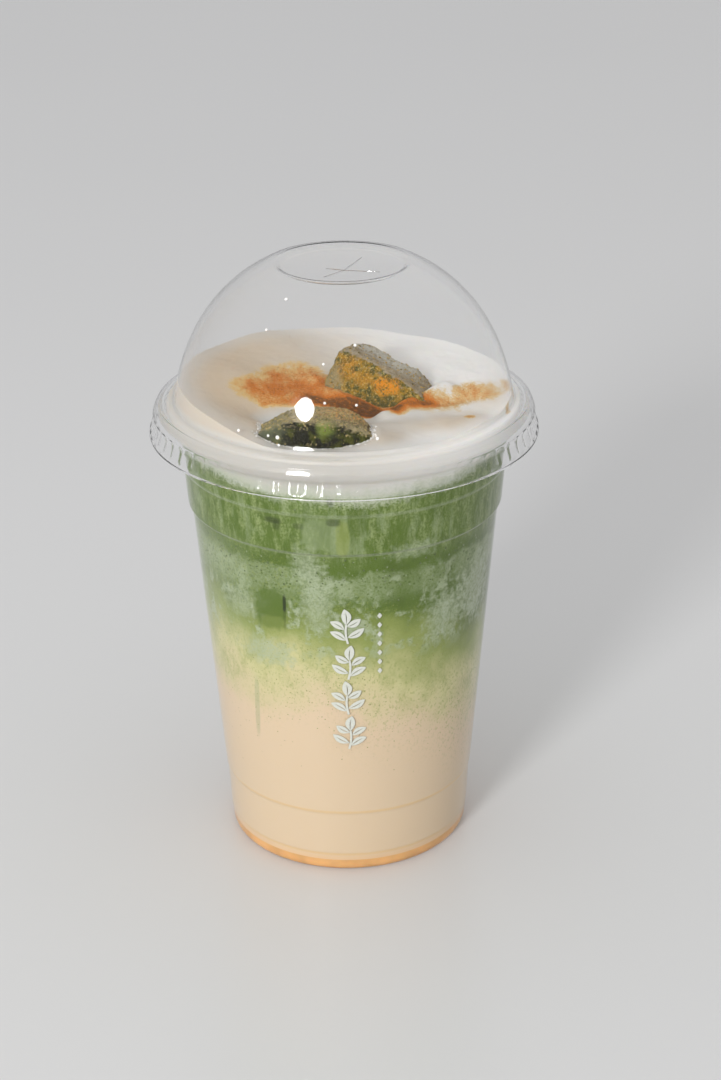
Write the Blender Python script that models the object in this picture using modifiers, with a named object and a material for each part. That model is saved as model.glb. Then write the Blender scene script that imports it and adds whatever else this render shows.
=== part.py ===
"""Iced matcha latte in a clear takeaway cup with a domed lid.

The cup and the lid are turned shells. The drink stands in the cup as layers that run
through it: syrup, milk, matcha and a cap of milk foam that swells up into the dome.
Two soft mochi cubes are bedded in the foam. The origin is at the centre of the foot
and +Z points up. The front, with both cubes in view, faces -Y.
"""

import math

import bmesh
import bpy
from mathutils import Euler, Vector, noise

# Driving dimensions, in millimetres
MM = 0.001
SEGMENTS = 44
GAP = 0.3

CUP_WALL = 0.6
FOOT_RADIUS = 31.3
FOOT_INNER_RADIUS = 27.6
PUNT_RADIUS = 24.5
PUNT_HEIGHT = 1.6
HEEL_RADIUS = 32.5
HEEL_HEIGHT = 1.5
GROOVE_HEIGHT = 5.2
LOWER_STEP_HEIGHT = 18.8
LOWER_STEP_RADIUS = 34.0
LOWER_STEP_WIDTH = 0.4
STACK_RING_HEIGHT = 96.6
STACK_RING_RADIUS = 40.35
STACK_RING_WIDTH = 0.95
COLLAR_HEIGHT = 115.4
COLLAR_RADIUS = 42.9
FLARE_HEIGHT = 4.9
RIM_HEIGHT = 122.9
RIM_RADIUS = 48.0
BEAD_RADIUS = 1.2
BEAD_FACETS = 5
STEP_EASE = 0.4

LID_WALL = 0.5
LID_TOP = 159.65
RECESS_RADIUS = 15.3
RECESS_DEPTH = 1.15
RECESS_DISH = 0.5
RIDGE_RADIUS = 19.3
DOME_RADIUS = 44.57
DOME_CENTRE_HEIGHT = 112.7
DOME_HEIGHT = 50.4
DOME_POWER = 2.21
DOME_RINGS = 10
DOME_FOOT_HEIGHT = 124.9
LAND_HEIGHT = 124.1
LAND_RADIUS = 46.9
SKIRT_TOP_RADIUS = 49.4
SKIRT_TOP_HEIGHT = 121.0
SKIRT_RADIUS = 50.5
SKIRT_BOTTOM = 115.2

SYRUP_TOP = 3.1
MILK_TOP = 60.0
MATCHA_TOP = 113.4

FOAM_LEVEL = 126.2
FOAM_RINGS = 10
FOAM_TILT = (-0.012, 0.03)
FOAM_RIPPLE = 0.35
# Each swell: height, centre x and y, width, length
FOAM_SWELLS = (
    (3.2, -42.0, -2.0, 24.0, 30.0),
    (1.2, -20.0, 36.0, 20.0, 16.0),
    (1.6, 44.0, 10.0, 16.0, 24.0),
    (1.2, -33.0, -26.0, 9.0, 9.0),
    (-0.9, -9.0, -38.0, 14.0, 5.0),
)
# Each fold: height, start x and y, end x and y, width
FOAM_FOLDS = (
    (-2.2, (-18.0, -20.0), (9.0, -14.0), 6.0),
    (1.0, (-7.0, 4.0), (1.0, -8.0), 3.5),
    (1.9, (10.0, -19.0), (26.0, -3.0), 2.6),
    (-0.8, (18.0, -13.5), (33.0, -8.0), 2.6),
    (1.0, (8.0, -30.0), (32.0, -24.0), 5.0),
)

BACK_MOCHI_SIZE = (29.0, 16.5, 14.0)
BACK_MOCHI_CENTRE = (11.0, -0.6, 125.3)
BACK_MOCHI_TURN = (-14.0, 15.0, -30.0)
BACK_MOCHI_TAPER = (-0.05, 0.3)
FRONT_MOCHI_SIZE = (29.0, 12.5, 12.0)
FRONT_MOCHI_CENTRE = (-7.6, -31.4, 125.2)
FRONT_MOCHI_TURN = (0.0, 2.5, -7.0)
FRONT_MOCHI_TAPER = (0.5, 0.3)
MOCHI_SAG = 0.12


def clear_scene():
    """Remove every object that the scene starts with."""
    for thing in list(bpy.data.objects):
        bpy.data.objects.remove(thing, do_unlink=True)


def make_collection(name):
    """Make a collection in the scene."""
    collection = bpy.data.collections.new(name)
    bpy.context.scene.collection.children.link(collection)
    return collection


def make_material(name, colour, roughness, alpha=1.0, transmission=0.0):
    """Make a Principled material."""
    material = bpy.data.materials.new(name)
    material.use_nodes = True
    shader = material.node_tree.nodes["Principled BSDF"]
    shader.inputs["Base Color"].default_value = (*colour, 1.0)
    shader.inputs["Roughness"].default_value = roughness
    shader.inputs["Metallic"].default_value = 0.0
    shader.inputs["Alpha"].default_value = alpha
    shader.inputs["Transmission Weight"].default_value = transmission
    material.diffuse_color = (*colour, alpha)
    return material


def arc(centre, radius, start, end, count):
    """Points on an arc in the (radius, height) plane, angles in degrees."""
    points = []
    for index in range(count + 1):
        angle = math.radians(start + (end - start) * index / count)
        points.append((centre[0] + radius * math.cos(angle), centre[1] + radius * math.sin(angle)))
    return points


def inward(path, distance):
    """Offset a path that runs down the outer side towards the inside, with mitred corners."""
    def side(first, second):
        run = Vector((second[0] - first[0], second[1] - first[1])).normalized()
        return Vector((run.y, -run.x))

    moved = []
    for index, point in enumerate(path):
        before = side(path[index - 1], point) if index > 0 else None
        after = side(point, path[index + 1]) if index < len(path) - 1 else None
        first = before or after
        second = after or before
        middle = (first + second).normalized()
        reach = distance / max(middle.dot(first), 0.5)
        moved.append((point[0] + middle.x * reach, point[1] + middle.y * reach))
    return moved


def radius_at(path, height):
    """Radius of a falling path at a height."""
    for upper, lower in zip(path, path[1:]):
        if lower[1] <= height <= upper[1] and upper[1] > lower[1]:
            share = (height - lower[1]) / (upper[1] - lower[1])
            return lower[0] + share * (upper[0] - lower[0])
    return path[-1][0]


def between(path, top, bottom):
    """The stretch of a falling path between two heights."""
    inside = [point for point in path if bottom + 0.2 < point[1] < top - 0.2]
    return [(radius_at(path, top), top)] + inside + [(radius_at(path, bottom), bottom)]


def eased_step(radius, height, width):
    """Three points down an inward step in a wall, its corner rounded."""
    return [
        (radius + width, height + STEP_EASE),
        (radius + 0.8 * width, height),
        (radius, height - STEP_EASE),
    ]


def cup_outer_path():
    """Outer side of the cup from under the rim's bead down to the foot's centre."""
    throat = RIM_RADIUS - 2.0 * BEAD_RADIUS + CUP_WALL
    flare_top = COLLAR_HEIGHT + FLARE_HEIGHT
    flare = [
        (throat, flare_top),
        (throat - 0.15, flare_top - 1.1),
        (throat - 1.0, flare_top - 2.3),
        (COLLAR_RADIUS + 0.65, COLLAR_HEIGHT + 1.3),
        (COLLAR_RADIUS, COLLAR_HEIGHT),
    ]
    stack_ring = eased_step(STACK_RING_RADIUS, STACK_RING_HEIGHT, STACK_RING_WIDTH)
    lower_step = eased_step(LOWER_STEP_RADIUS - LOWER_STEP_WIDTH, LOWER_STEP_HEIGHT, LOWER_STEP_WIDTH)
    foot = [
        (HEEL_RADIUS + 0.45, GROOVE_HEIGHT + STEP_EASE),
        (HEEL_RADIUS + 0.2, GROOVE_HEIGHT - STEP_EASE),
        (HEEL_RADIUS, HEEL_HEIGHT),
        (HEEL_RADIUS - 0.4, HEEL_HEIGHT / 3.0),
        (FOOT_RADIUS, 0.0),
        (FOOT_INNER_RADIUS, 0.0),
        (PUNT_RADIUS, PUNT_HEIGHT - 0.1),
        (0.0, PUNT_HEIGHT),
    ]
    return flare + stack_ring + lower_step + foot


def dome_radius(height):
    """Outer radius of the dome at a height: a superellipse."""
    share = (height - DOME_CENTRE_HEIGHT) / DOME_HEIGHT
    return DOME_RADIUS * (1.0 - share ** DOME_POWER) ** (1.0 / DOME_POWER)


def dome_height(radius):
    """Outer height of the dome at a radius."""
    share = radius / DOME_RADIUS
    return DOME_CENTRE_HEIGHT + DOME_HEIGHT * (1.0 - share ** DOME_POWER) ** (1.0 / DOME_POWER)


def dome_points(count):
    """Points down the dome from the ridge to its foot, evenly turned."""
    start = math.acos((RIDGE_RADIUS / DOME_RADIUS) ** (DOME_POWER / 2.0))
    foot = (DOME_FOOT_HEIGHT - DOME_CENTRE_HEIGHT) / DOME_HEIGHT
    end = math.asin(foot ** (DOME_POWER / 2.0))
    points = []
    for index in range(count + 1):
        turn = start + (end - start) * index / count
        radius = DOME_RADIUS * math.cos(turn) ** (2.0 / DOME_POWER)
        points.append((radius, dome_height(radius)))
    return points


def lid_outer_path():
    """Outer side of the lid from the centre of its top down to the skirt's edge."""
    floor = LID_TOP - RECESS_DEPTH
    top = [
        (0.0, floor - RECESS_DISH),
        (RECESS_RADIUS - 1.2, floor - 0.1),
        (RECESS_RADIUS, floor),
        (RECESS_RADIUS + 0.8, floor + 0.55 * RECESS_DEPTH),
        (RECESS_RADIUS + 1.9, LID_TOP),
    ]
    shoulder = [
        (dome_radius(DOME_FOOT_HEIGHT) + 0.6, LAND_HEIGHT + 0.1),
        (LAND_RADIUS, LAND_HEIGHT - 0.1),
        (LAND_RADIUS + 1.4, LAND_HEIGHT - 0.8),
        (LAND_RADIUS + 2.0, LAND_HEIGHT - 1.8),
        (SKIRT_TOP_RADIUS, SKIRT_TOP_HEIGHT),
        (SKIRT_RADIUS, SKIRT_BOTTOM + 0.8),
        (SKIRT_RADIUS, SKIRT_BOTTOM),
    ]
    return top + dome_points(DOME_RINGS) + shoulder


def foam_swell(x, y, swell):
    """Height of one smooth swell, fading over its width and length."""
    height, centre_x, centre_y, width, length = swell
    return height * math.exp(-((x - centre_x) / width) ** 2 - ((y - centre_y) / length) ** 2)


def foam_fold(x, y, fold):
    """Height of one smooth fold along the line from its start to its end."""
    height, start, end, width = fold
    line = Vector(end) - Vector(start)
    offset = Vector((x, y)) - Vector(start)
    share = min(max(offset.dot(line) / line.length_squared, 0.0), 1.0)
    away = (offset - line * share).length
    return height * math.exp(-(away / width) ** 2)


def foam_height(x, y):
    """Height of the foam's uneven top at a place, all in millimetres."""
    height = FOAM_LEVEL + FOAM_TILT[0] * x + FOAM_TILT[1] * y
    height += sum(foam_swell(x, y, swell) for swell in FOAM_SWELLS)
    height += sum(foam_fold(x, y, fold) for fold in FOAM_FOLDS)
    return height + FOAM_RIPPLE * math.sin(0.21 * x + 0.9) * math.cos(0.17 * y - 0.4)


def turned(name, profile, material, collection):
    """A closed solid turned about the vertical axis, built by a Screw modifier."""
    mesh = bpy.data.meshes.new(name)
    points = [(radius * MM, 0.0, height * MM) for radius, height in profile]
    edges = [(index, index + 1) for index in range(len(points) - 1)]
    mesh.from_pydata(points, edges, [])
    turned_object = bpy.data.objects.new(name, mesh)
    collection.objects.link(turned_object)
    screw = turned_object.modifiers.new("turn", "SCREW")
    screw.axis = "Z"
    screw.angle = 2.0 * math.pi
    screw.steps = SEGMENTS
    screw.render_steps = SEGMENTS
    screw.use_merge_vertices = True
    screw.merge_threshold = 0.00001
    screw.use_smooth_shade = True
    mesh.materials.append(material)
    return turned_object


def settled_mesh(thing, name):
    """The mesh of an object as its modifiers leave it, with the object itself removed."""
    graph = bpy.context.evaluated_depsgraph_get()
    mesh = bpy.data.meshes.new_from_object(thing.evaluated_get(graph), depsgraph=graph)
    bpy.data.objects.remove(thing, do_unlink=True)
    mesh.name = name
    return mesh


def build_cup(collection):
    """The clear tapered cup with its stacking ring and rolled rim."""
    plastic = make_material("clear_cup", (0.95, 0.96, 0.95), 0.05, 0.35, 1.0)
    outer = cup_outer_path()
    inner = inward(outer, CUP_WALL)
    inner[-1] = (0.0, inner[-1][1])
    bead_centre = (RIM_RADIUS - BEAD_RADIUS, RIM_HEIGHT - BEAD_RADIUS)
    bead = arc(bead_centre, BEAD_RADIUS, 180.0, -90.0, BEAD_FACETS)
    return turned("cup", list(reversed(inner)) + bead + outer, plastic, collection)


def build_lid(collection):
    """The clear dome lid with a recessed disc on top and a flared skirt."""
    plastic = make_material("clear_lid", (0.96, 0.97, 0.97), 0.04, 0.3, 1.0)
    outer = lid_outer_path()
    inner = inward(outer, LID_WALL)
    inner[0] = (0.0, inner[0][1])
    return turned("dome_lid", outer + list(reversed(inner)), plastic, collection)


def build_drink(collection):
    """Syrup, milk and matcha: flat layers that follow the cup's inner side."""
    side = inward(cup_outer_path(), CUP_WALL + GAP)
    side[-1] = (0.0, side[-1][1])
    floor = [point for point in side if point[1] < SYRUP_TOP - 0.2]
    syrup_colour = make_material("syrup", (0.66, 0.30, 0.08), 0.15)
    syrup = [(0.0, SYRUP_TOP), (radius_at(side, SYRUP_TOP), SYRUP_TOP)] + floor
    turned("syrup", syrup, syrup_colour, collection)

    layers = (
        ("milk", SYRUP_TOP + GAP, MILK_TOP, (0.76, 0.58, 0.38)),
        ("matcha", MILK_TOP + GAP, MATCHA_TOP, (0.19, 0.32, 0.07)),
    )
    for name, bottom, top, colour in layers:
        profile = [(0.0, top)] + between(side, top, bottom) + [(0.0, bottom)]
        turned(name, profile, make_material(name, colour, 0.3), collection)


def foam_edge(height):
    """Radius of the foam's edge at a height, just clear of the dome's inner side."""
    return dome_radius(height) - LID_WALL - 1.5 * GAP


def foam_profile():
    """Half section of the foam: rings across its top, then down the dome, rim and cup."""
    edge = foam_edge(FOAM_LEVEL)
    top = [(edge * ring / FOAM_RINGS, FOAM_LEVEL) for ring in range(FOAM_RINGS + 1)]
    lid_underside = LAND_HEIGHT - LID_WALL - 1.3 * GAP
    in_dome = [(foam_edge(DOME_FOOT_HEIGHT), lid_underside)]
    rim_inner = RIM_RADIUS - 2.0 * BEAD_RADIUS - GAP
    in_rim = [(rim_inner - 0.1, lid_underside - 0.2), (rim_inner, lid_underside - 0.7)]
    side = inward(cup_outer_path(), CUP_WALL + GAP)
    in_cup = between(side, side[0][1], MATCHA_TOP + GAP)
    return top + in_dome + in_rim + in_cup + [(0.0, MATCHA_TOP + GAP)]


def build_foam(collection, cutters, lumps):
    """The foam cap: turned, its top shaped by foam_height, hollowed under each cube."""
    cream = make_material("foam", (0.80, 0.72, 0.62), 0.6)
    blank = turned("foam_blank", foam_profile(), cream, collection)
    mesh = settled_mesh(blank, "foam")
    for vertex in mesh.vertices:
        if vertex.co.z > (FOAM_LEVEL - 0.5) * MM:
            height = foam_height(vertex.co.x / MM, vertex.co.y / MM)
            fit = foam_edge(height) / foam_edge(FOAM_LEVEL)
            vertex.co = Vector((vertex.co.x * fit, vertex.co.y * fit, height * MM))
    foam = bpy.data.objects.new("foam", mesh)
    collection.objects.link(foam)
    for lump in lumps:
        cutter = bpy.data.objects.new("cutter_" + lump.name, lump.data)
        cutters.objects.link(cutter)
        cutter.hide_render = True
        cutter.display_type = "WIRE"
        swell = cutter.modifiers.new("clearance", "DISPLACE")
        swell.mid_level = 0.0
        swell.strength = (GAP + 0.15) * MM
        cut = foam.modifiers.new("bed_" + lump.name, "BOOLEAN")
        cut.operation = "DIFFERENCE"
        cut.solver = "EXACT"
        cut.object = cutter
    return foam


def sagged(spot, size, taper, seed):
    """Move a point of a soft block: thinner to its ends, wider to its base, and uneven."""
    share = 2.0 * spot.x / size[0]
    thin = 1.0 - (taper[0] if share < 0.0 else taper[1]) * share * share
    spread = 1.0 + MOCHI_SAG * (0.3 - spot.z / size[2])
    lift = noise.noise(spot * 0.11 + Vector((seed, 0.0, 0.0))) * 1.2
    lift += noise.noise(spot * 0.27 + Vector((0.0, seed, 0.0))) * 0.6
    low = -0.5 * size[2]
    soft = Vector((spot.x, spot.y * spread * thin, low + (spot.z - low) * thin))
    return soft + spot.normalized() * lift


def build_mochi(name, size, centre, turn, taper, seed, colour, collection):
    """A soft cube: a box with rounded edges, sagging to its base and made uneven by noise."""
    mesh = bpy.data.meshes.new(name)
    cube = bmesh.new()
    bmesh.ops.create_cube(cube, size=1.0)
    bmesh.ops.scale(cube, vec=Vector(size) * MM, verts=cube.verts)
    bmesh.ops.subdivide_edges(cube, edges=cube.edges, cuts=3, use_grid_fill=True)
    cube.to_mesh(mesh)
    cube.free()
    block = bpy.data.objects.new(name + "_block", mesh)
    collection.objects.link(block)
    soften = block.modifiers.new("soften", "SUBSURF")
    soften.levels = 1
    soften.render_levels = 1
    shaped = settled_mesh(block, name)
    place = Euler([math.radians(angle) for angle in turn]).to_matrix()
    for vertex in shaped.vertices:
        soft = sagged(vertex.co / MM, size, taper, seed)
        vertex.co = (place @ soft + Vector(centre)) * MM
    for face in shaped.polygons:
        face.use_smooth = True
    shaped.materials.append(make_material(name, colour, 0.8))
    lump = bpy.data.objects.new(name, shaped)
    collection.objects.link(lump)
    return lump


def main():
    """Build the whole drink."""
    clear_scene()
    collection = make_collection("matcha_latte")
    cutters = make_collection("cutters")
    build_cup(collection)
    build_lid(collection)
    build_drink(collection)
    back = build_mochi(
        "mochi_back", BACK_MOCHI_SIZE, BACK_MOCHI_CENTRE, BACK_MOCHI_TURN,
        BACK_MOCHI_TAPER, 3.0, (0.27, 0.20, 0.05), collection)
    front = build_mochi(
        "mochi_front", FRONT_MOCHI_SIZE, FRONT_MOCHI_CENTRE, FRONT_MOCHI_TURN,
        FRONT_MOCHI_TAPER, 8.0, (0.07, 0.11, 0.03), collection)
    build_foam(collection, cutters, (back, front))


main()
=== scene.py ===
"""Looks for an iced matcha latte in a clear takeaway cup with a domed lid.

Laid out as a Blender add-on and run as a script: each operator makes one piece, or one
group of like pieces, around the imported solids. Named sizes are in millimetres unless a
unit is stated, and every mesh is in metres in the solids' own frame: the origin is at
the centre of the foot, +Z is up and the front faces -Y.
"""

import math

import bmesh
import bpy
from mathutils import Euler, Matrix, Vector, noise
from mathutils.bvhtree import BVHTree


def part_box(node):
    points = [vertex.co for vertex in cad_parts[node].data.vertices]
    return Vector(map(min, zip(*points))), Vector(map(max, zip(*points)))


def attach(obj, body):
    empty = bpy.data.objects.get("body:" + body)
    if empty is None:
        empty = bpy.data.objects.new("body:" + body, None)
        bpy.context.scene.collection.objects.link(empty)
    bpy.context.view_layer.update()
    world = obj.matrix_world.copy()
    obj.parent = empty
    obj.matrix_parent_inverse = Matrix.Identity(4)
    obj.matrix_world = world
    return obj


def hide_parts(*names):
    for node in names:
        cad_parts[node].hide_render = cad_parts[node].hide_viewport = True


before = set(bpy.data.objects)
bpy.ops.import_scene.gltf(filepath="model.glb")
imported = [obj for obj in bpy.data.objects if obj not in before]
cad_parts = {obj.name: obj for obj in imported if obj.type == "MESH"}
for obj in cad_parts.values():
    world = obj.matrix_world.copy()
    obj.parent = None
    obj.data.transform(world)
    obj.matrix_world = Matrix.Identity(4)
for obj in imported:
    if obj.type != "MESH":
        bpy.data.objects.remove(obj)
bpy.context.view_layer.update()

bl_info = {
    "name": "Matcha latte",
    "version": (1, 0, 0),
    "blender": (4, 5, 0),
    "location": "3D View > Sidebar > Latte",
    "description": "An iced matcha latte in a clear takeaway cup with a domed lid",
    "category": "Add Mesh",
}

# Sizes shared with the solids, in millimetres
MM = 0.001
GAP = 0.3

CUP_WALL = 0.6
FOOT_RADIUS = 31.3
FOOT_INNER_RADIUS = 27.6
PUNT_RADIUS = 24.5
PUNT_HEIGHT = 1.6
HEEL_RADIUS = 32.5
HEEL_HEIGHT = 1.5
GROOVE_HEIGHT = 5.2
LOWER_STEP_HEIGHT = 18.8
LOWER_STEP_RADIUS = 34.0
LOWER_STEP_WIDTH = 0.4
STACK_RING_HEIGHT = 96.6
STACK_RING_RADIUS = 40.35
STACK_RING_WIDTH = 0.95
COLLAR_HEIGHT = 115.4
FINE_LINE_HEIGHT = 107.6
FINE_LINE_RADIUS = 42.1
FINE_LINE_WIDTH = 0.25
COLLAR_RADIUS = 42.9
FLARE_HEIGHT = 4.9
RIM_HEIGHT = 122.9
RIM_RADIUS = 48.0
BEAD_RADIUS = 1.2
STEP_EASE = 0.4

LID_WALL = 0.5
LID_IOR = 1.34
LID_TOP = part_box("dome_lid")[1].z / MM
RECESS_RADIUS = 15.3
RECESS_DEPTH = 1.15
RECESS_DISH = 0.5
RIDGE_RADIUS = 19.3
DOME_RADIUS = 44.57
DOME_CENTRE_HEIGHT = 112.7
DOME_HEIGHT = 50.4
DOME_POWER = 2.21
DOME_RINGS = 22
DOME_FOOT_HEIGHT = 124.9
LAND_HEIGHT = 124.1
LAND_RADIUS = 46.9
SKIRT_TOP_RADIUS = 49.4
SKIRT_TOP_HEIGHT = 121.0
SKIRT_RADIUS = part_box("dome_lid")[1].x / MM
SKIRT_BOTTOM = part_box("dome_lid")[0].z / MM
SKIRT_RINGS = 14

SYRUP_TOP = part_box("syrup")[1].z / MM
MILK_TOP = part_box("milk")[1].z / MM
MATCHA_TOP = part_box("matcha")[1].z / MM

FOAM_LEVEL = 126.2
FOAM_TILT = (-0.012, 0.03)
FOAM_RIPPLE = 0.35
FOAM_SWELLS = (
    (3.2, -42.0, -2.0, 24.0, 30.0),
    (1.2, -20.0, 36.0, 20.0, 16.0),
    (1.6, 44.0, 10.0, 16.0, 24.0),
    (1.2, -33.0, -26.0, 9.0, 9.0),
    (-0.9, -9.0, -38.0, 14.0, 5.0),
)
FOAM_FOLDS = (
    (-2.2, (-18.0, -20.0), (9.0, -14.0), 6.0),
    (1.0, (-7.0, 4.0), (1.0, -8.0), 3.5),
    (1.9, (10.0, -19.0), (26.0, -3.0), 2.6),
    (-0.8, (18.0, -13.5), (33.0, -8.0), 2.6),
    (1.0, (8.0, -30.0), (32.0, -24.0), 5.0),
)
BACK_MOCHI_TURN = (-14.0, 15.0, -30.0)
FRONT_MOCHI_TURN = (0.0, 2.5, -7.0)

# Sizes of the looks, in millimetres
WALL_REACH = 0.25
CUP_EASE = 0.5
ROUND_SEGMENTS = 160
FOAM_RINGS = 120
FOAM_SEGMENTS = 300
MOCHI_VOXEL = 0.32

# Fine lumps: height, how many to a length and how rough
FOAM_CRUMPLES = ((0.14, 0.22, 1.0), (0.04, 1.1, 0.9))
MOCHI_LUMPS = ((0.28, 0.45, 1.0), (0.16, 1.6, 0.8))

# A small rise of the foam in front of the cubes: height, centre x and y, half width and length
FOAM_FRONT_RISE = (1.3, 8.0, -36.0, 6.0, 4.0)

# Powder patches on the foam: strength, centre x and y, half width, half length
POWDER_PATCHES = (
    (0.95, -9.5, -3.5, 13.0, 7.5),
    (0.8, -13.0, 4.0, 7.0, 9.0),
    (0.8, -21.5, -6.0, 7.0, 6.5),
    (0.28, -12.0, 4.0, 15.0, 13.0),
    (1.0, 3.0, -9.5, 8.0, 3.6),
    (0.9, 11.0, -13.5, 6.0, 3.2),
    (0.85, 21.0, -11.5, 8.5, 3.8),
    (0.45, 31.0, -6.5, 8.5, 5.5),
    (0.22, 37.0, -3.0, 7.0, 7.0),
    (0.24, 26.0, -17.0, 10.0, 4.0),
    (0.55, 31.0, -23.0, 1.6, 1.8),
    (0.4, 41.2, -14.5, 1.0, 3.0),
    (0.4, 42.0, -2.0, 1.6, 4.0),
)
# Powder along the creases at the cubes, thick enough to turn dark: real powder and painted shade in
# the creases; strength, start, end, width
POWDER_AND_SHADE_CREASES = (
    (0.5, (-20.0, -13.5), (-8.0, -10.4), 1.8),
    (1.0, (-9.0, -9.3), (6.0, -12.4), 2.3),
    (1.2, (5.0, -12.0), (13.0, -17.5), 2.2),
    (0.5, (12.0, -17.0), (22.0, -11.5), 1.2),
)

# Pale clouds of froth at the wall: centre, half size and strength
CLOUD_PATCHES = (
    ((-7.5, -37.0, 82.5), (3.4, 8.0, 7.5), 0.7),
    ((-10.0, -37.5, 93.0), (3.0, 8.0, 4.5), 0.6),
    ((-26.5, -27.0, 78.5), (4.2, 8.0, 3.2), 0.55),
    ((-31.0, -22.0, 88.0), (5.0, 8.0, 4.0), 0.25),
    ((-20.0, -32.0, 66.0), (5.5, 8.0, 3.2), 0.75),
    ((24.5, -29.0, 75.0), (4.2, 8.0, 6.0), 0.75),
    ((32.0, -20.0, 78.5), (4.4, 8.0, 7.0), 0.85),
    ((17.0, -34.0, 96.5), (5.0, 8.0, 2.0), 0.5),
)

# Clear ice at the wall: centre, half size, colour and strength
ICE_PATCHES = (
    ((-19.3, -34.3, 79.0), (3.9, 9.0, 5.8), "tea", 0.85),
    ((-18.4, -34.3, 74.0), (3.3, 9.0, 3.0), "fresh", 0.35),
    ((-6.4, -41.0, 102.4), (4.4, 6.0, 4.6), "froth", 0.4),
    ((-0.8, -41.0, 101.5), (1.7, 6.0, 4.8), "fresh", 0.6),
    ((2.8, -41.0, 106.5), (2.4, 6.0, 4.0), "deep", 0.5),
    ((-23.5, -27.5, 48.0), (0.6, 6.0, 9.0), "froth", 0.35),
)

# Painted shade at the dark edges and specks of ice: centre, half size, strength
ICE_EDGE_SHADES = (
    ((-15.6, -36.5, 81.2), (0.42, 6.0, 2.3), 1.0),
    ((-15.6, -36.5, 77.0), (0.35, 6.0, 3.2), 0.3),
    ((-17.9, -38.0, 105.2), (1.9, 6.0, 0.8), 0.6),
    ((-17.0, -38.0, 103.9), (0.8, 6.0, 1.3), 0.45),
    ((-11.6, -40.2, 104.4), (1.3, 6.0, 0.8), 0.4),
    ((-3.0, -42.0, 105.9), (1.7, 6.0, 1.0), 0.6),
    ((-3.6, -43.0, 112.4), (0.9, 6.0, 1.8), 0.85),
)

# Droplets on the dome, white as painted highlights of their glints: azimuth from the front in
# degrees, height, radius
DROPLETS = (
    (-33.6, 156.3, 0.45),
    (-35.6, 150.3, 0.35),
    (4.9, 148.6, 0.4),
    (-7.6, 144.8, 0.35),
    (-6.5, 136.5, 0.35),
    (4.2, 136.0, 0.35),
    (-36.5, 127.7, 0.4),
    (-25.2, 127.9, 0.35),
    (-21.9, 127.8, 0.5),
    (-21.3, 126.0, 0.35),
    (10.6, 128.1, 0.45),
)
DROPLET_FLATNESS = 0.45

# The straw slit's middle and the ends of its four ridges, in the recess
SLIT_CENTRE = (0.3, -3.2)
SLIT_ENDS = ((-4.1, -1.4), (9.4, -5.6), (-4.6, -9.4), (5.0, 7.4))
SLIT_HALF_WIDTH = 0.11
SLIT_RISE = 0.28
SLIT_STEPS = 12

# The small knob on the front cube
NUB_CENTRE = (-4.6, -38.2, 128.9)
NUB_RADIUS = 1.7
NUB_RISE = 0.8

# The printed plates: thickness, and the size of the narrow column's diamonds
PRINT_THICKNESS = 0.07
DOT_HALF_HEIGHT = 0.8
DOT_HALF_WIDTH = 0.62

# The stage, in metres and, for the lamp, degrees; the camera's angles are in radians
FLOOR_HALF = 9.0
KEY_AZIMUTH = -27.0
KEY_ELEVATION = 17.8
KEY_AIM = (0.0, 0.0, 0.13)
CAMERA_PLACE = (0.0, -0.510885, 0.311264)
CAMERA_YAW = 0.0076959
CAMERA_PITCH = 0.4208292
CAMERA_ROLL = -0.0101770


def from_screen(red, green, blue):
    """A linear colour from the 0 to 255 values that a screen shows."""
    shares = [value / 255.0 for value in (red, green, blue)]
    return tuple(s / 12.92 if s <= 0.04045 else ((s + 0.055) / 1.055) ** 2.4 for s in shares)


def dimmed(colour, factor):
    """A colour at a share of its brightness."""
    return tuple(factor * value for value in colour)


def between_colours(first, second):
    """Two parts of a first colour to three of a second."""
    return tuple(0.4 * a + 0.6 * b for a, b in zip(first, second))


def size_property(label, millimetres, description):
    """A length that a user may change."""
    return bpy.props.FloatProperty(
        name=label, description=description, default=millimetres * MM, min=0.0,
        precision=5, unit="LENGTH")


def share_property(label, default, description):
    """A plain factor that a user may change."""
    return bpy.props.FloatProperty(name=label, description=description, default=default, min=0.0)


def count_property(label, default, description):
    """A whole number that a user may change."""
    return bpy.props.IntProperty(name=label, description=description, default=default, min=1)


def colour_property(label, default, description):
    """A colour that a user may change."""
    return bpy.props.FloatVectorProperty(
        name=label, description=description, default=default, min=0.0, max=1.0, size=3,
        subtype="COLOR")


class StageSettings(bpy.types.PropertyGroup):
    """Floor, light and camera."""

    floor: colour_property("Floor", (0.66, 0.66, 0.66), "Colour of the plain floor")
    horizon: colour_property("Horizon", (0.50, 0.50, 0.51), "Soft light from the sides")
    zenith: colour_property("Zenith", (0.86, 0.86, 0.86), "Soft light from straight above")
    key_power: share_property("Key power", 22.0, "Power of the lamp at the front left, in watts")
    key_size: share_property("Key size", 0.40, "Diameter of the key lamp, in metres")
    key_distance: share_property("Key distance", 1.8, "Distance of the key lamp, in metres")
    lens: share_property("Lens", 70.0, "Focal length for a 36 mm long side")


class CupSettings(bpy.types.PropertyGroup):
    """The clear cup."""

    tint: colour_property("Tint", (0.985, 0.99, 0.985), "Tint of the clear plastic")
    ink: colour_property("Ink", from_screen(206, 208, 198), "Colour of the white print")
    leaf_sprays: count_property("Sprays", 4, "Leaf sprays in the printed column")


class LidSettings(bpy.types.PropertyGroup):
    """The clear domed lid."""

    tint: colour_property("Tint", (0.985, 0.985, 0.985), "Tint of the clear plastic")
    ribs: count_property("Ribs", 68, "Grip ribs round the skirt")
    rib_depth: size_property("Rib depth", 0.42, "Depth of the grooves between the ribs")
    rib_lean: size_property("Rib lean", 0.55, "How far the ribs lean in at their top")


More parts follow.
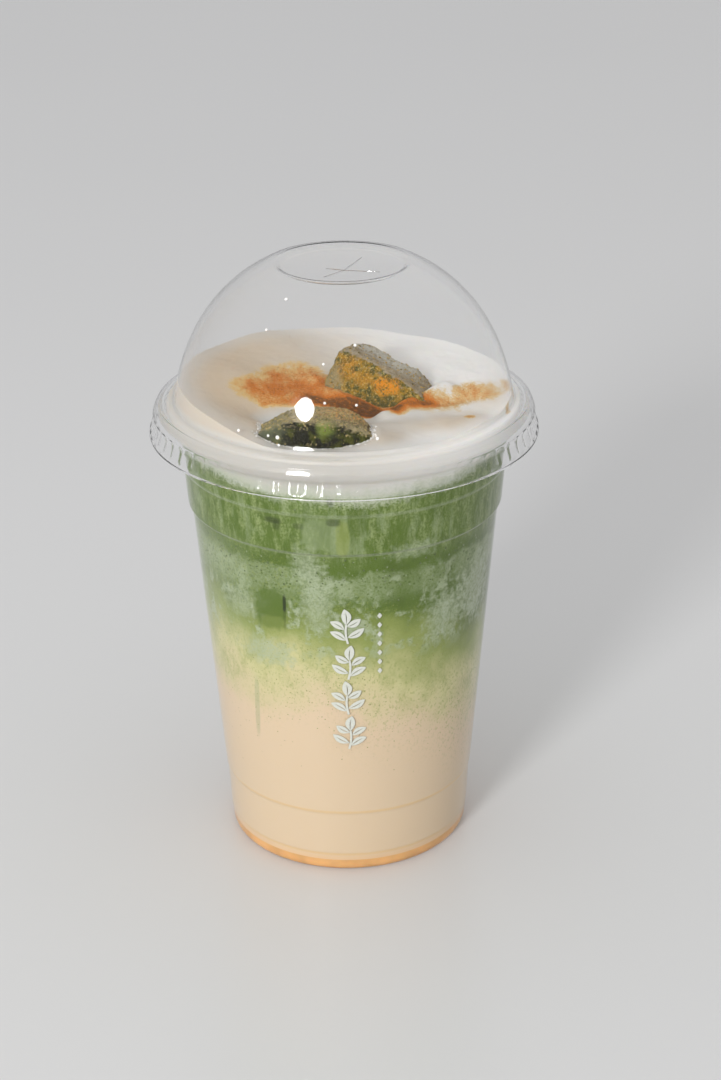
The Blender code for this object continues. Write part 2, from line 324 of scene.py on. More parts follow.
class DrinkSettings(bpy.types.PropertyGroup):
    """The layers seen through the cup."""

    milk: colour_property("Milk", from_screen(217, 194, 163), "Peach of the milk")
    pale: colour_property("Pale", from_screen(200, 195, 142), "Where tea thins into the milk")
    fresh: colour_property("Fresh", from_screen(138, 150, 76), "Yellow green of the blend")
    tea: colour_property("Tea", from_screen(84, 107, 26), "Green of the matcha")
    deep: colour_property("Deep", from_screen(76, 98, 22), "Darkest green of the matcha")
    veil: colour_property("Veil", from_screen(152, 166, 108), "Thin froth that runs down the wall")
    cloud: colour_property("Cloud", from_screen(172, 182, 152), "Palest froth in the green")
    froth: colour_property("Froth", from_screen(146, 160, 117), "Pale green of bubbles and streaks")
    syrup: colour_property("Syrup", from_screen(234, 178, 114), "Amber of the syrup")


class ToppingSettings(bpy.types.PropertyGroup):
    """Foam, powder and cubes."""

    foam: colour_property("Foam", from_screen(248, 245, 240), "Colour of the milk foam")
    # Grey foam: painted shade on the foam's left and front, and a second tone of the foam bubbles
    foam_grey_and_shade: colour_property("Grey foam", from_screen(204, 200, 192), "Thinner foam on the left")
    # Cream foam: painted shade on the foam's top
    foam_cream_shade: colour_property("Cream foam", from_screen(208, 186, 156), "Creamier foam on top")
    halo: colour_property("Halo", from_screen(218, 184, 112), "Foam faintly yellowed by powder")
    powder: colour_property("Powder", from_screen(202, 112, 10), "Roasted powder")
    # Dark powder: wet powder, and painted shade in the creases at the cubes
    powder_dark_and_shade: colour_property("Dark powder", from_screen(96, 62, 16), "Wetted powder")
    grain: size_property("Grain", 0.13, "Radius of the largest powder grains")


def eased(path, reach, steps=3):
    """A path with each inner corner that turns enough made a short curve."""
    smooth = [tuple(path[0])]
    for before, corner, after in zip(path, path[1:], path[2:]):
        before, corner, after = Vector(before), Vector(corner), Vector(after)
        arrive, leave = corner - before, after - corner
        if arrive.angle(leave) < math.radians(4.0):
            smooth.append(tuple(corner))
            continue
        cut = min(reach, 0.45 * arrive.length, 0.45 * leave.length)
        start = corner - arrive.normalized() * cut
        end = corner + leave.normalized() * cut
        for index in range(steps + 1):
            share = index / steps
            smooth.append(tuple(start.lerp(corner, share).lerp(corner.lerp(end, share), share)))
    smooth.append(tuple(path[-1]))
    return smooth


def arc(centre, radius, start, end, count):
    """Points on an arc in the (radius, height) plane, angles in degrees."""
    angles = [math.radians(start + (end - start) * index / count) for index in range(count + 1)]
    return [(centre[0] + radius * math.cos(a), centre[1] + radius * math.sin(a)) for a in angles]


def inward(path, distance):
    """Offset a path that runs down the outer side towards the inside, with mitred corners."""
    def side(first, second):
        run = Vector((second[0] - first[0], second[1] - first[1])).normalized()
        return Vector((run.y, -run.x))

    moved = []
    for index, point in enumerate(path):
        before = side(path[index - 1], point) if index > 0 else None
        after = side(point, path[index + 1]) if index < len(path) - 1 else None
        first = before or after
        middle = (first + (after or before)).normalized()
        reach = distance / max(middle.dot(first), 0.5)
        moved.append((point[0] + middle.x * reach, point[1] + middle.y * reach))
    return moved


def radius_at(path, height):
    """Radius of a falling path at a height."""
    for upper, lower in zip(path, path[1:]):
        if lower[1] <= height <= upper[1] and upper[1] > lower[1]:
            share = (height - lower[1]) / (upper[1] - lower[1])
            return lower[0] + share * (upper[0] - lower[0])
    return path[-1][0]


def between(path, top, bottom):
    """The stretch of a falling path between two heights."""
    inside = [point for point in path if bottom + 0.05 < point[1] < top - 0.05]
    return [(radius_at(path, top), top)] + inside + [(radius_at(path, bottom), bottom)]


def eased_step(radius, height, width, ease=STEP_EASE):
    """Three points down an inward step in a wall."""
    return [(radius + width, height + ease), (radius + 0.8 * width, height), (radius, height - ease)]


def cup_path():
    """Outer side of the cup from under the rim's bead down to the foot's centre."""
    throat = RIM_RADIUS - 2.0 * BEAD_RADIUS + CUP_WALL
    flare_top = COLLAR_HEIGHT + FLARE_HEIGHT
    flare = [
        (throat, flare_top),
        (throat - 0.15, flare_top - 1.1),
        (throat - 1.0, flare_top - 2.3),
        (COLLAR_RADIUS + 0.65, COLLAR_HEIGHT + 1.3),
        (COLLAR_RADIUS, COLLAR_HEIGHT),
    ]
    fine_line = eased_step(FINE_LINE_RADIUS, FINE_LINE_HEIGHT, FINE_LINE_WIDTH)
    stack_ring = eased_step(STACK_RING_RADIUS, STACK_RING_HEIGHT, STACK_RING_WIDTH)
    lower_step = eased_step(
        LOWER_STEP_RADIUS - LOWER_STEP_WIDTH, LOWER_STEP_HEIGHT, LOWER_STEP_WIDTH, 2.4 * STEP_EASE)
    foot = [
        (HEEL_RADIUS + 0.45, GROOVE_HEIGHT + STEP_EASE),
        (HEEL_RADIUS + 0.2, GROOVE_HEIGHT - STEP_EASE),
        (HEEL_RADIUS, HEEL_HEIGHT),
        (HEEL_RADIUS - 0.4, HEEL_HEIGHT / 3.0),
        (FOOT_RADIUS, 0.0),
        (FOOT_INNER_RADIUS, 0.0),
        (PUNT_RADIUS, PUNT_HEIGHT - 0.1),
        (0.0, PUNT_HEIGHT),
    ]
    return flare + fine_line + stack_ring + lower_step + foot


def drink_side():
    """Outer side of what fills the cup: a path just inside the wall's own thickness."""
    side = eased(inward(cup_path(), CUP_WALL - WALL_REACH), CUP_EASE)
    return side[:-1] + [(0.0, side[-1][1])]


def dome_radius(height):
    """Outer radius of the dome at a height: a superellipse."""
    share = (height - DOME_CENTRE_HEIGHT) / DOME_HEIGHT
    return DOME_RADIUS * (1.0 - share ** DOME_POWER) ** (1.0 / DOME_POWER)


def dome_path():
    """Points down the dome from the ridge to its foot, evenly turned."""
    start = math.acos((RIDGE_RADIUS / DOME_RADIUS) ** (DOME_POWER / 2.0))
    foot = (DOME_FOOT_HEIGHT - DOME_CENTRE_HEIGHT) / DOME_HEIGHT
    end = math.asin(foot ** (DOME_POWER / 2.0))
    points = []
    for index in range(DOME_RINGS + 1):
        turn = start + (end - start) * index / DOME_RINGS
        radius = DOME_RADIUS * math.cos(turn) ** (2.0 / DOME_POWER)
        height = DOME_CENTRE_HEIGHT + DOME_HEIGHT * math.sin(turn) ** (2.0 / DOME_POWER)
        points.append((radius, height))
    return points


def lid_path():
    """Outer side of the lid from the centre of its top down to the skirt's edge."""
    floor = LID_TOP - RECESS_DEPTH
    top = [
        (0.0, floor - RECESS_DISH),
        (RECESS_RADIUS - 1.2, floor - 0.1),
        (RECESS_RADIUS, floor),
        (RECESS_RADIUS + 0.8, floor + 0.55 * RECESS_DEPTH),
        (RECESS_RADIUS + 1.9, LID_TOP),
    ]
    shoulder = [
        (dome_radius(DOME_FOOT_HEIGHT) + 0.6, LAND_HEIGHT + 0.1),
        (LAND_RADIUS, LAND_HEIGHT - 0.1),
        (LAND_RADIUS + 1.4, LAND_HEIGHT - 0.8),
        (LAND_RADIUS + 2.0, LAND_HEIGHT - 1.8),
        (SKIRT_TOP_RADIUS, SKIRT_TOP_HEIGHT),
    ]
    for step in range(1, SKIRT_RINGS + 1):
        share = step / SKIRT_RINGS
        height = SKIRT_TOP_HEIGHT + (SKIRT_BOTTOM + 0.9 - SKIRT_TOP_HEIGHT) * share
        shoulder.append((SKIRT_TOP_RADIUS + (SKIRT_RADIUS - 0.1 - SKIRT_TOP_RADIUS) * share, height))
    shoulder += [(SKIRT_RADIUS, SKIRT_BOTTOM + 0.45), (SKIRT_RADIUS - 0.15, SKIRT_BOTTOM)]
    return top, dome_path(), shoulder


def stroke(x, y, start, end, width):
    """One on the line from start to end, fading smoothly over the width."""
    line = Vector(end) - Vector(start)
    offset = Vector((x, y)) - Vector(start)
    share = min(max(offset.dot(line) / line.length_squared, 0.0), 1.0)
    return math.exp(-((offset - line * share).length / width) ** 2)


def lumps(place, layers):
    """How far layers of fine lumps lift a surface at a place."""
    return sum(rise * noise.fractal(place * fine, rough, 2.0, 3) for rise, fine, rough in layers)


def swell(x, y, rise, centre_x, centre_y, width, length):
    """Height of one soft swell at a place."""
    return rise * math.exp(-((x - centre_x) / width) ** 2 - ((y - centre_y) / length) ** 2)


def foam_height(x, y):
    """Height of the foam's uneven top, the same as in the solid."""
    height = FOAM_LEVEL + FOAM_TILT[0] * x + FOAM_TILT[1] * y
    for sizes in FOAM_SWELLS:
        height += swell(x, y, *sizes)
    for rise, start, end, width in FOAM_FOLDS:
        height += rise * stroke(x, y, start, end, width)
    return height + FOAM_RIPPLE * math.sin(0.21 * x + 0.9) * math.cos(0.17 * y - 0.4)


def powder_cover(x, y):
    """How thickly powder lies at a place on the foam: none at 0, thick at 1, and dark above, as wet
    powder and, along the creases at the cubes, as painted shade.
    """
    bare = 1.0
    for strength, centre_x, centre_y, width, length in POWDER_PATCHES:
        away = math.hypot((x - centre_x) / width, (y - centre_y) / length)
        bare *= 1.0 - strength * math.exp(-away ** 2.4)
    uneven = noise.fractal(Vector((0.17 * x, 0.09 * y, 3.0)), 0.8, 2.1, 5)
    cover = (1.0 - bare) * (0.98 + 0.5 * uneven)
    for strength, start, end, width in POWDER_AND_SHADE_CREASES:
        cover += strength * stroke(x, y, start, end, width)
    return min(max(cover - 0.03, 0.0), 1.6)


def mesh_from(name, shape, outward=False):
    """A new mesh from an edited shape, its faces turned outward where that is wanted."""
    if outward:
        bmesh.ops.recalc_face_normals(shape, faces=shape.faces)
    mesh = bpy.data.meshes.new(name)
    shape.to_mesh(mesh)
    shape.free()
    return mesh


def edit_mesh(mesh, change):
    """Put a mesh through one change."""
    shape = bmesh.new()
    shape.from_mesh(mesh)
    change(shape)
    shape.to_mesh(mesh)
    shape.free()


def tube(shape, rows):
    """A closed tube through rows of corners in millimetres."""
    made = [[shape.verts.new(corner * MM) for corner in row] for row in rows]
    for before, after in zip(made, made[1:]):
        for index, corner in enumerate(before):
            follow = (index + 1) % len(before)
            shape.faces.new((corner, before[follow], after[follow], after[index]))
    shape.faces.new(made[0])
    shape.faces.new(made[-1])


def ring_mesh(name, rings):
    """A closed mesh through rings of points in millimetres, the first and last closed to a pole."""
    shape = bmesh.new()
    rows = [[shape.verts.new(Vector(point) * MM) for point in ring] for ring in rings]
    for upper, lower in zip(rows, rows[1:]):
        count = max(len(upper), len(lower))
        for index in range(count):
            after = (index + 1) % count
            if len(upper) == 1:
                shape.faces.new((upper[0], lower[index], lower[after]))
            elif len(lower) == 1:
                shape.faces.new((upper[index], lower[0], upper[after]))
            else:
                shape.faces.new((upper[index], lower[index], lower[after], upper[after]))
    return mesh_from(name, shape)


def ring_points(radius, height, segments):
    """Points round a ring, or the one point of a pole."""
    if radius < 0.001:
        return [(0.0, 0.0, height)]
    turns = [2.0 * math.pi * index / segments for index in range(segments)]
    return [(radius * math.cos(turn), radius * math.sin(turn), height) for turn in turns]


def turned_mesh(name, profile, segments=ROUND_SEGMENTS):
    """A mesh turned about the vertical axis from a profile in millimetres."""
    return ring_mesh(name, [ring_points(radius, height, segments) for radius, height in profile])


def add_piece(name, mesh, material, sharp=50.0):
    """Put a mesh in the scene as an object at the origin, smooth but for its sharp edges."""
    piece = bpy.data.objects.new(name, mesh)
    bpy.context.scene.collection.objects.link(piece)
    mesh.materials.clear()
    mesh.materials.append(material)
    mesh.shade_smooth()
    mesh.set_sharp_from_angle(angle=math.radians(sharp))
    return piece


def finish_piece(piece, slot, *nodes):
    """Let a finished piece ride on the part's one body, in its place."""
    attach(piece, "root")
    if nodes:
        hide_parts(*nodes)


def settle(piece):
    """Make a piece's modifiers part of a plain mesh."""
    graph = bpy.context.evaluated_depsgraph_get()
    mesh = bpy.data.meshes.new_from_object(piece.evaluated_get(graph), depsgraph=graph)
    piece.modifiers.clear()
    piece.data = mesh
    mesh.name = piece.name
    return mesh


def feed(tree, socket, value):
    """Set a socket, by a link where the value is another socket."""
    if isinstance(value, bpy.types.NodeSocket):
        tree.links.new(value, socket)
    elif value is not None:
        socket.default_value = value


def add_node(tree, kind, inputs=None, **settings):
    """Add a node with its settings, and its inputs by name or number."""
    node = tree.nodes.new(kind)
    for name, value in settings.items():
        setattr(node, name, value)
    for key, value in (inputs or {}).items():
        feed(tree, node.inputs[key], value)
    return node


def calculate(tree, operation, *values):
    """A Math node's result."""
    return add_node(tree, "ShaderNodeMath", dict(enumerate(values)), operation=operation).outputs[0]


def product(tree, first, *others):
    """Values multiplied together."""
    for other in others:
        first = calculate(tree, "MULTIPLY", first, other)
    return first


def added(tree, value, factor, base):
    """A multiple of a value added to a base."""
    return calculate(tree, "MULTIPLY_ADD", value, factor, base)


def combine(tree, operation, first, second=None, scale=None):
    """A Vector Math node's result."""
    node = add_node(
        tree, "ShaderNodeVectorMath", {0: first, 1: second, 3: scale}, operation=operation)
    return node.outputs["Value" if operation in ("LENGTH", "DOT_PRODUCT") else "Vector"]


def split(tree, vector):
    """The three parts of a vector."""
    return add_node(tree, "ShaderNodeSeparateXYZ", {0: vector}).outputs[:3]


def join(tree, *parts):
    """A vector from its three parts."""
    return add_node(tree, "ShaderNodeCombineXYZ", dict(enumerate(parts))).outputs[0]


def ramp(tree, value, low, high, bottom=0.0, top=1.0):
    """A smooth rise from bottom to top while the value goes from low to high."""
    node = add_node(
        tree, "ShaderNodeMapRange", dict(enumerate((value, low, high, bottom, top))),
        interpolation_type="SMOOTHSTEP")
    return node.outputs[0]


def zone(tree, value, rise, fall):
    """A mask that rises between the first two values and falls between the last two."""
    return product(tree, ramp(tree, value, *rise), ramp(tree, value, *fall, 1.0, 0.0))


def full(colour):
    """A colour with its alpha."""
    return (*colour, 1.0)


def blend(tree, share, first, second):
    """Two colours mixed by a share."""
    node = add_node(tree, "ShaderNodeMix", {0: share, 6: first, 7: second}, data_type="RGBA")
    return node.outputs[2]


def layered(tree, colour, *layers):
    """A colour with others mixed over it: each has a strength and shows where its masks are high."""
    for other, strength, *masks in layers:
        colour = blend(tree, product(tree, *masks, strength), colour, full(other))
    return colour


def speckle(
        tree, place, size, stretch=(1.0, 1.0, 1.0), detail=2.0, distortion=0.0, shift=0.0,
        roughness=0.5):
    """Noise from 0 to 1 whose features are about one size across, in millimetres."""
    mapped = add_node(
        tree, "ShaderNodeMapping", {"Vector": place, "Scale": stretch, "Location": (shift,) * 3})
    made = add_node(tree, "ShaderNodeTexNoise", {
        "Vector": mapped.outputs[0], "Scale": 1.0 / size, "Detail": detail,
        "Roughness": roughness, "Distortion": distortion})
    return made.outputs[0]


def sway(tree, *details, **more):
    """The same noise, but from -0.5 to 0.5."""
    return calculate(tree, "SUBTRACT", speckle(tree, *details, **more), 0.5)


def threshold(tree, place, size, low, high, stretch, distortion, shift):
    """Ragged patches where noise lies above a threshold."""
    return ramp(tree, speckle(tree, place, size, stretch, 5.0, distortion, shift, 0.62), low, high)


def two_tone(tree, size, low, high, first, second):
    """Two colours in patches about one size across, in millimetres."""
    share = ramp(tree, speckle(tree, object_place(tree), size), low, high)
    return blend(tree, share, full(first), full(second))


def dots(tree, place, spacing, low, high):
    """Round dots about one spacing apart, in millimetres, as bubbles at a wall show."""
    cells = add_node(tree, "ShaderNodeTexVoronoi", {"Vector": place, "Scale": 1.0 / spacing})
    return ramp(tree, cells.outputs["Distance"], low, high, 1.0, 0.0)


def object_place(tree):
    """The object's own coordinates, in millimetres."""
    coordinates = add_node(tree, "ShaderNodeTexCoord").outputs["Object"]
    return combine(tree, "SCALE", coordinates, scale=1.0 / MM)


def new_tree(name, kind, inputs, output, output_kind):
    """A node tree with named inputs and one output, and the sockets inside it."""
    tree = bpy.data.node_groups.new(name, kind)
    for label, socket_kind, *default in inputs:
        socket = tree.interface.new_socket(
            name=label, in_out="INPUT", socket_type="NodeSocket" + socket_kind)
        if default:
            socket.default_value = default[0]
    tree.interface.new_socket(
        name=output, in_out="OUTPUT", socket_type="NodeSocket" + output_kind)
    given = tree.nodes.new("NodeGroupInput").outputs
    return tree, given, tree.nodes.new("NodeGroupOutput").inputs


def place_group(tree, name, inputs=None):
    """A group's one result, with its inputs set."""
    group = bpy.data.node_groups[name]
    return add_node(tree, "ShaderNodeGroup", inputs, node_tree=group).outputs[0]


def build_relief_group():
    """A group that turns two sizes of noise into a slightly uneven normal."""
    inputs = (
        ("Coarse Size", "Float", 3.0), ("Fine Size", "Float", 0.5), ("Depth", "Float", 0.05))
    group, given, result = new_tree("fine_relief", "ShaderNodeTree", inputs, "Normal", "Vector")
    place = object_place(group)
    heights = []
    for label in ("Coarse Size", "Fine Size"):
        scale = calculate(group, "DIVIDE", 1.0, given[label])
        made = add_node(
            group, "ShaderNodeTexNoise", {"Vector": place, "Scale": scale, "Detail": 3.0})
        heights.append(made.outputs[0])
    bump = add_node(group, "ShaderNodeBump", {
        "Strength": 1.0, "Distance": product(group, given["Depth"], MM),
        "Height": added(group, heights[1], 0.35, heights[0])})
    feed(group, result[0], bump.outputs[0])


def build_patch_group():
    """A group that masks a soft-edged, slightly ragged box round a centre, in millimetres."""
    inputs = (
        ("Centre", "Vector"), ("Size", "Vector", (1.0, 1.0, 1.0)), ("Ragged", "Float", 0.3),
        ("Softness", "Float", 0.3))
    group, given, result = new_tree("soft_patch", "ShaderNodeTree", inputs, "Mask", "Float")
    place = object_place(group)
    away = combine(group, "SUBTRACT", place, given["Centre"])
    share = combine(group, "ABSOLUTE", combine(group, "DIVIDE", away, given["Size"]))
    powers = [calculate(group, "POWER", part, 3.0) for part in split(group, share)]
    total = calculate(group, "ADD", calculate(group, "ADD", powers[0], powers[1]), powers[2])
    reach = calculate(group, "POWER", total, 1.0 / 3.0)
    ragged = added(group, sway(group, place, 1.6, detail=3.0), given["Ragged"], reach)
    inner = calculate(group, "SUBTRACT", 1.0, given["Softness"])
    outer = calculate(group, "ADD", 1.0, given["Softness"])
    feed(group, result[0], ramp(group, ragged, inner, outer, 1.0, 0.0))


def patch(tree, centre, size, ragged, softness):
    """The mask of a soft patch."""
    return place_group(tree, "soft_patch", {
        "Centre": centre, "Size": size, "Ragged": ragged, "Softness": softness})


def relief(tree, coarse, fine, depth):
    """The normal of a slightly uneven surface."""
    return place_group(
        tree, "fine_relief", {"Coarse Size": coarse, "Fine Size": fine, "Depth": depth})


def painted_foam_shade(tree, x, topping):
    """The foam's colour with painted shade: greyer where the measure is low, as towards the left, and
    whiter where it is high.
    """
    return blend(tree, ramp(tree, x, -10.0, 42.0), full(topping.foam_grey_and_shade), full(topping.foam))


def band_colour(tree, level, drink):
    """The colour at a level, from plain milk up to plain tea."""
    ramp_top = 120.0
    bands = ((47.0, drink.milk), (63.0, drink.pale), (74.0, drink.fresh), (84.0, drink.tea))
    ends = (bands[0], (114.0, drink.tea))
    stops = add_node(tree, "ShaderNodeValToRGB", {0: calculate(tree, "DIVIDE", level, ramp_top)})
    elements = stops.color_ramp.elements
    for element, (height, shade) in zip(elements, ends):
        element.position = height / ramp_top
        element.color = full(shade)
    for height, shade in bands[1:]:
        elements.new(height / ramp_top).color = full(shade)
    return stops.outputs[0]


def build_layer_group(drink, topping):
    """A group for the colour seen at the cup's wall, from the milk up to the foam."""
    group, _, result = new_tree("drink_layers", "ShaderNodeTree", (), "Color", "Color")
    place = object_place(group)
    x, _, z = split(group, place)
    swirl = sway(group, place, 17.0, (1.0, 1.0, 0.8))
    cloud_noise = speckle(group, place, 6.5, (1.0, 1.0, 0.85), 6.0, 0.25, 11.0, 0.66)
    cloud = calculate(group, "SUBTRACT", cloud_noise, 0.5)
    broad = speckle(group, place, 9.0, (1.0, 1.0, 0.4), 2.0, 0.3, 21.0)
    grain = speckle(group, place, 0.62, roughness=0.6)

    # Height, carried up and down by slow swirls, sets how much tea has run into the milk
    level = added(group, cloud, 12.0, added(group, swirl, 22.0, z))
    level = added(group, calculate(group, "MAXIMUM", x, 0.0), 0.38, level)

    # Green wisps that sink into the milk, pale clouds above them, darker clear patches
    wisps = threshold(group, place, 5.0, 0.42, 0.68, (1.0, 1.0, 0.7), 0.3, 3.0)
    wisp_grain = ramp(group, grain, 0.4, 0.58, 0.6, 1.0)
    wisp_zone = zone(group, level, (48.0, 62.0), (76.0, 82.0))
    clear = threshold(group, place, 4.5, 0.52, 0.64, (1.0, 1.0, 0.7), 0.4, 40.0)
    clouds = ramp(group, cloud_noise, 0.50, 0.60)
    grainy = ramp(group, grain, 0.4, 0.58, 0.65, 1.0)
    cloud_zone = zone(group, z, (62.0, 72.0), (88.0, 93.0))
    leftward = ramp(group, added(group, cloud, 18.0, x), -34.0, -18.0, 1.0, 0.0)
    left_zone = zone(group, z, (60.0, 76.0), (92.0, 102.0))

    # A band of fine bubbles under a band of plain tea
    band_level = added(group, cloud, 7.0, added(group, swirl, 9.0, z))
    bubble_band = zone(group, band_level, (80.0, 86.5), (90.4, 92.2))
    bubbly = ramp(group, grain, 0.4, 0.58, 0.45, 1.0)
    bubble_breaks = ramp(group, broad, 0.3, 0.55, 0.4, 1.0)
    frothy = calculate(group, "MAXIMUM", bubble_band, product(group, clouds, cloud_zone))
    chosen = ramp(group, speckle(group, place, 1.3, detail=1.0, shift=31.0), 0.46, 0.54)

    # Froth that clings to the wall above the stacking ring, and runs down it
    upper = ramp(group, band_level, 93.0, 97.0)
    crisp = ramp(group, grain, 0.42, 0.57, 0.25, 1.0)
    runs = speckle(group, place, 2.0, (1.0, 1.0, 0.25), 6.0, 0.1, 8.0, 0.75)
    drifts = speckle(group, place, 4.5, (1.0, 1.0, 0.28), 6.0, 0.3, 17.0, 0.66)
    drift_zone = zone(group, band_level, (93.0, 98.0), (107.0, 115.0))
    colour = layered(
        group, band_colour(group, level, drink),
        (drink.fresh, 0.5, wisps, wisp_grain, wisp_zone),
        (drink.deep, 0.7, clear, ramp(group, z, 72.0, 84.0)),
        (drink.cloud, 0.9, clouds, grainy, cloud_zone),
        (drink.cloud, 0.25, leftward, grainy, left_zone),
        (drink.froth, 0.85, bubble_band, bubbly, bubble_breaks),
        (drink.deep, 0.75, dots(group, place, 1.2, 0.2, 0.34), frothy, chosen),
        (drink.veil, 0.9, ramp(group, runs, 0.4, 0.66), crisp, upper),
        (drink.froth, 0.7, ramp(group, drifts, 0.5, 0.66), grainy, drift_zone))
    # Pale lines at the stacking ring and the fine line: painted highlights of the wall's steps
    for height, strength in ((STACK_RING_HEIGHT, 0.5), (FINE_LINE_HEIGHT, 0.3)):
        line = zone(group, z, (height - 0.9, height - 0.3), (height + 0.2, height + 0.6))
        colour = layered(group, colour, (drink.cloud, strength, line, wisp_grain))

    # Fine green flecks that hang in the milk, and a fine grain in the green
    flecks = threshold(group, place, 0.7, 0.54, 0.62, (1.0, 1.0, 0.8), 0.0, 9.0)
    fleck_zone = zone(group, added(group, x, 0.25, level), (34.0, 66.0), (84.0, 92.0))
    colour = layered(
        group, colour, (drink.fresh, 0.5, flecks, fleck_zone),
        (drink.deep, 0.35, ramp(group, grain, 0.5, 0.7), ramp(group, z, 66.0, 84.0)))

    # Clouds where they show, each with a grainy ragged edge
    for centre, size, strength in CLOUD_PATCHES:
        cloud_patch = patch(group, centre, size, 2.2, 0.6)
        colour = layered(group, colour, (drink.cloud, strength, cloud_patch, wisp_grain))

    # Ice pressed to the wall: clear green blocks with painted shade at their dark edges, and a faint
    # edge lower down
    for centre, size, shade, strength in ICE_PATCHES:
        block = patch(group, centre, size, 0.55, 0.2)
        colour = layered(group, colour, (getattr(drink, shade), strength, block))
    for centre, size, strength in ICE_EDGE_SHADES:
        edge = patch(group, centre, size, 0.6, 0.4)
        colour = layered(group, colour, (dimmed(drink.deep, 0.3), strength, edge))

    # Amber near the floor, painted shade in yellow along the wall's steps, and the foam above
    colour = layered(group, colour, (drink.syrup, 0.4, ramp(group, z, 2.6, 6.0, 1.0, 0.0)))
    for height in (GROOVE_HEIGHT, LOWER_STEP_HEIGHT):
        line = zone(group, z, (height - 0.8, height - 0.2), (height + 0.1, height + 0.6))
        colour = layered(group, colour, (from_screen(226, 190, 132), 0.5, line))
    across = calculate(group, "DIVIDE", x, 40.0)
    ragged = added(group, calculate(group, "SUBTRACT", broad, 0.5), 5.0, z)
    edge = calculate(group, "SUBTRACT", ragged, product(group, across, across, 4.0))
    edge = added(group, crisp, 1.2, edge)
    pale_green = between_colours(topping.foam, drink.froth)
    colour = layered(group, colour, (pale_green, 0.9, ramp(group, edge, 110.4, 114.0)))
    # Painted shade on the foam at the side: greyer towards the left
    foam = painted_foam_shade(group, x, topping)
    feed(group, result[0], blend(group, ramp(group, edge, 112.8, 117.5), colour, foam))


def new_material(name, **values):
    """A material with its Principled shader's plain values set, and its tree."""
    material = bpy.data.materials.new(name)
    material.use_nodes = True
    tree = material.node_tree
    for socket, value in values.items():
        tree.nodes["Principled BSDF"].inputs[socket.replace("_", " ")].default_value = value
    return material, tree


def soft_material(name, roughness, specular, weight, radius, scale):
    """A material that light sinks into a little way."""
    return new_material(
        name, Roughness=roughness, Specular_IOR_Level=specular, Subsurface_Weight=weight,
        Subsurface_Radius=radius, Subsurface_Scale=scale)


def dress(material, colour, *uneven, **others):
    """Link a shader's colour, its coarse, fine and deep unevenness, and other inputs."""
    tree = material.node_tree
    inputs = tree.nodes["Principled BSDF"].inputs
    feed(tree, inputs["Base Color"], colour)
    if uneven:
        feed(tree, inputs["Normal"], relief(tree, *uneven))
    for socket, value in others.items():
        feed(tree, inputs[socket.replace("_", " ")], value)
    return material


def clear_plastic(name, tint, shadow, coarse, depth, ior=1.5):
    """Clear thin plastic that lets lamp light and bounced light straight through."""
    material, tree = new_material(
        name, Base_Color=full(tint), Roughness=0.03, IOR=ior, Transmission_Weight=1.0)
    path = add_node(tree, "ShaderNodeLightPath").outputs
    passing = calculate(tree, "MAXIMUM", path["Is Shadow Ray"], path["Is Diffuse Ray"])
    straight = add_node(tree, "ShaderNodeBsdfTransparent", {"Color": (shadow, shadow, shadow, 1.0)})
    mixed = add_node(tree, "ShaderNodeMixShader", {
        0: passing, 1: tree.nodes["Principled BSDF"].outputs[0], 2: straight.outputs[0]})
    feed(tree, tree.nodes["Material Output"].inputs["Surface"], mixed.outputs[0])
    return dress(material, None, coarse, 0.8, depth)


def drink_material():
    """The drink against the wall: milky, with the layers' colours."""
    material, tree = soft_material("drink_layers", 0.45, 0.12, 0.15, (1.0, 0.8, 0.5), 0.0004)
    return dress(material, place_group(tree, "drink_layers"), 4.0, 0.6, 0.02)


def syrup_material(drink):
    """Amber syrup, deeper in places."""
    material, tree = soft_material("syrup_amber", 0.25, 0.2, 0.3, (1.0, 0.5, 0.2), 0.0015)
    deep = dimmed(drink.syrup, 0.82)
    return dress(material, two_tone(tree, 7.0, 0.35, 0.65, drink.syrup, deep))


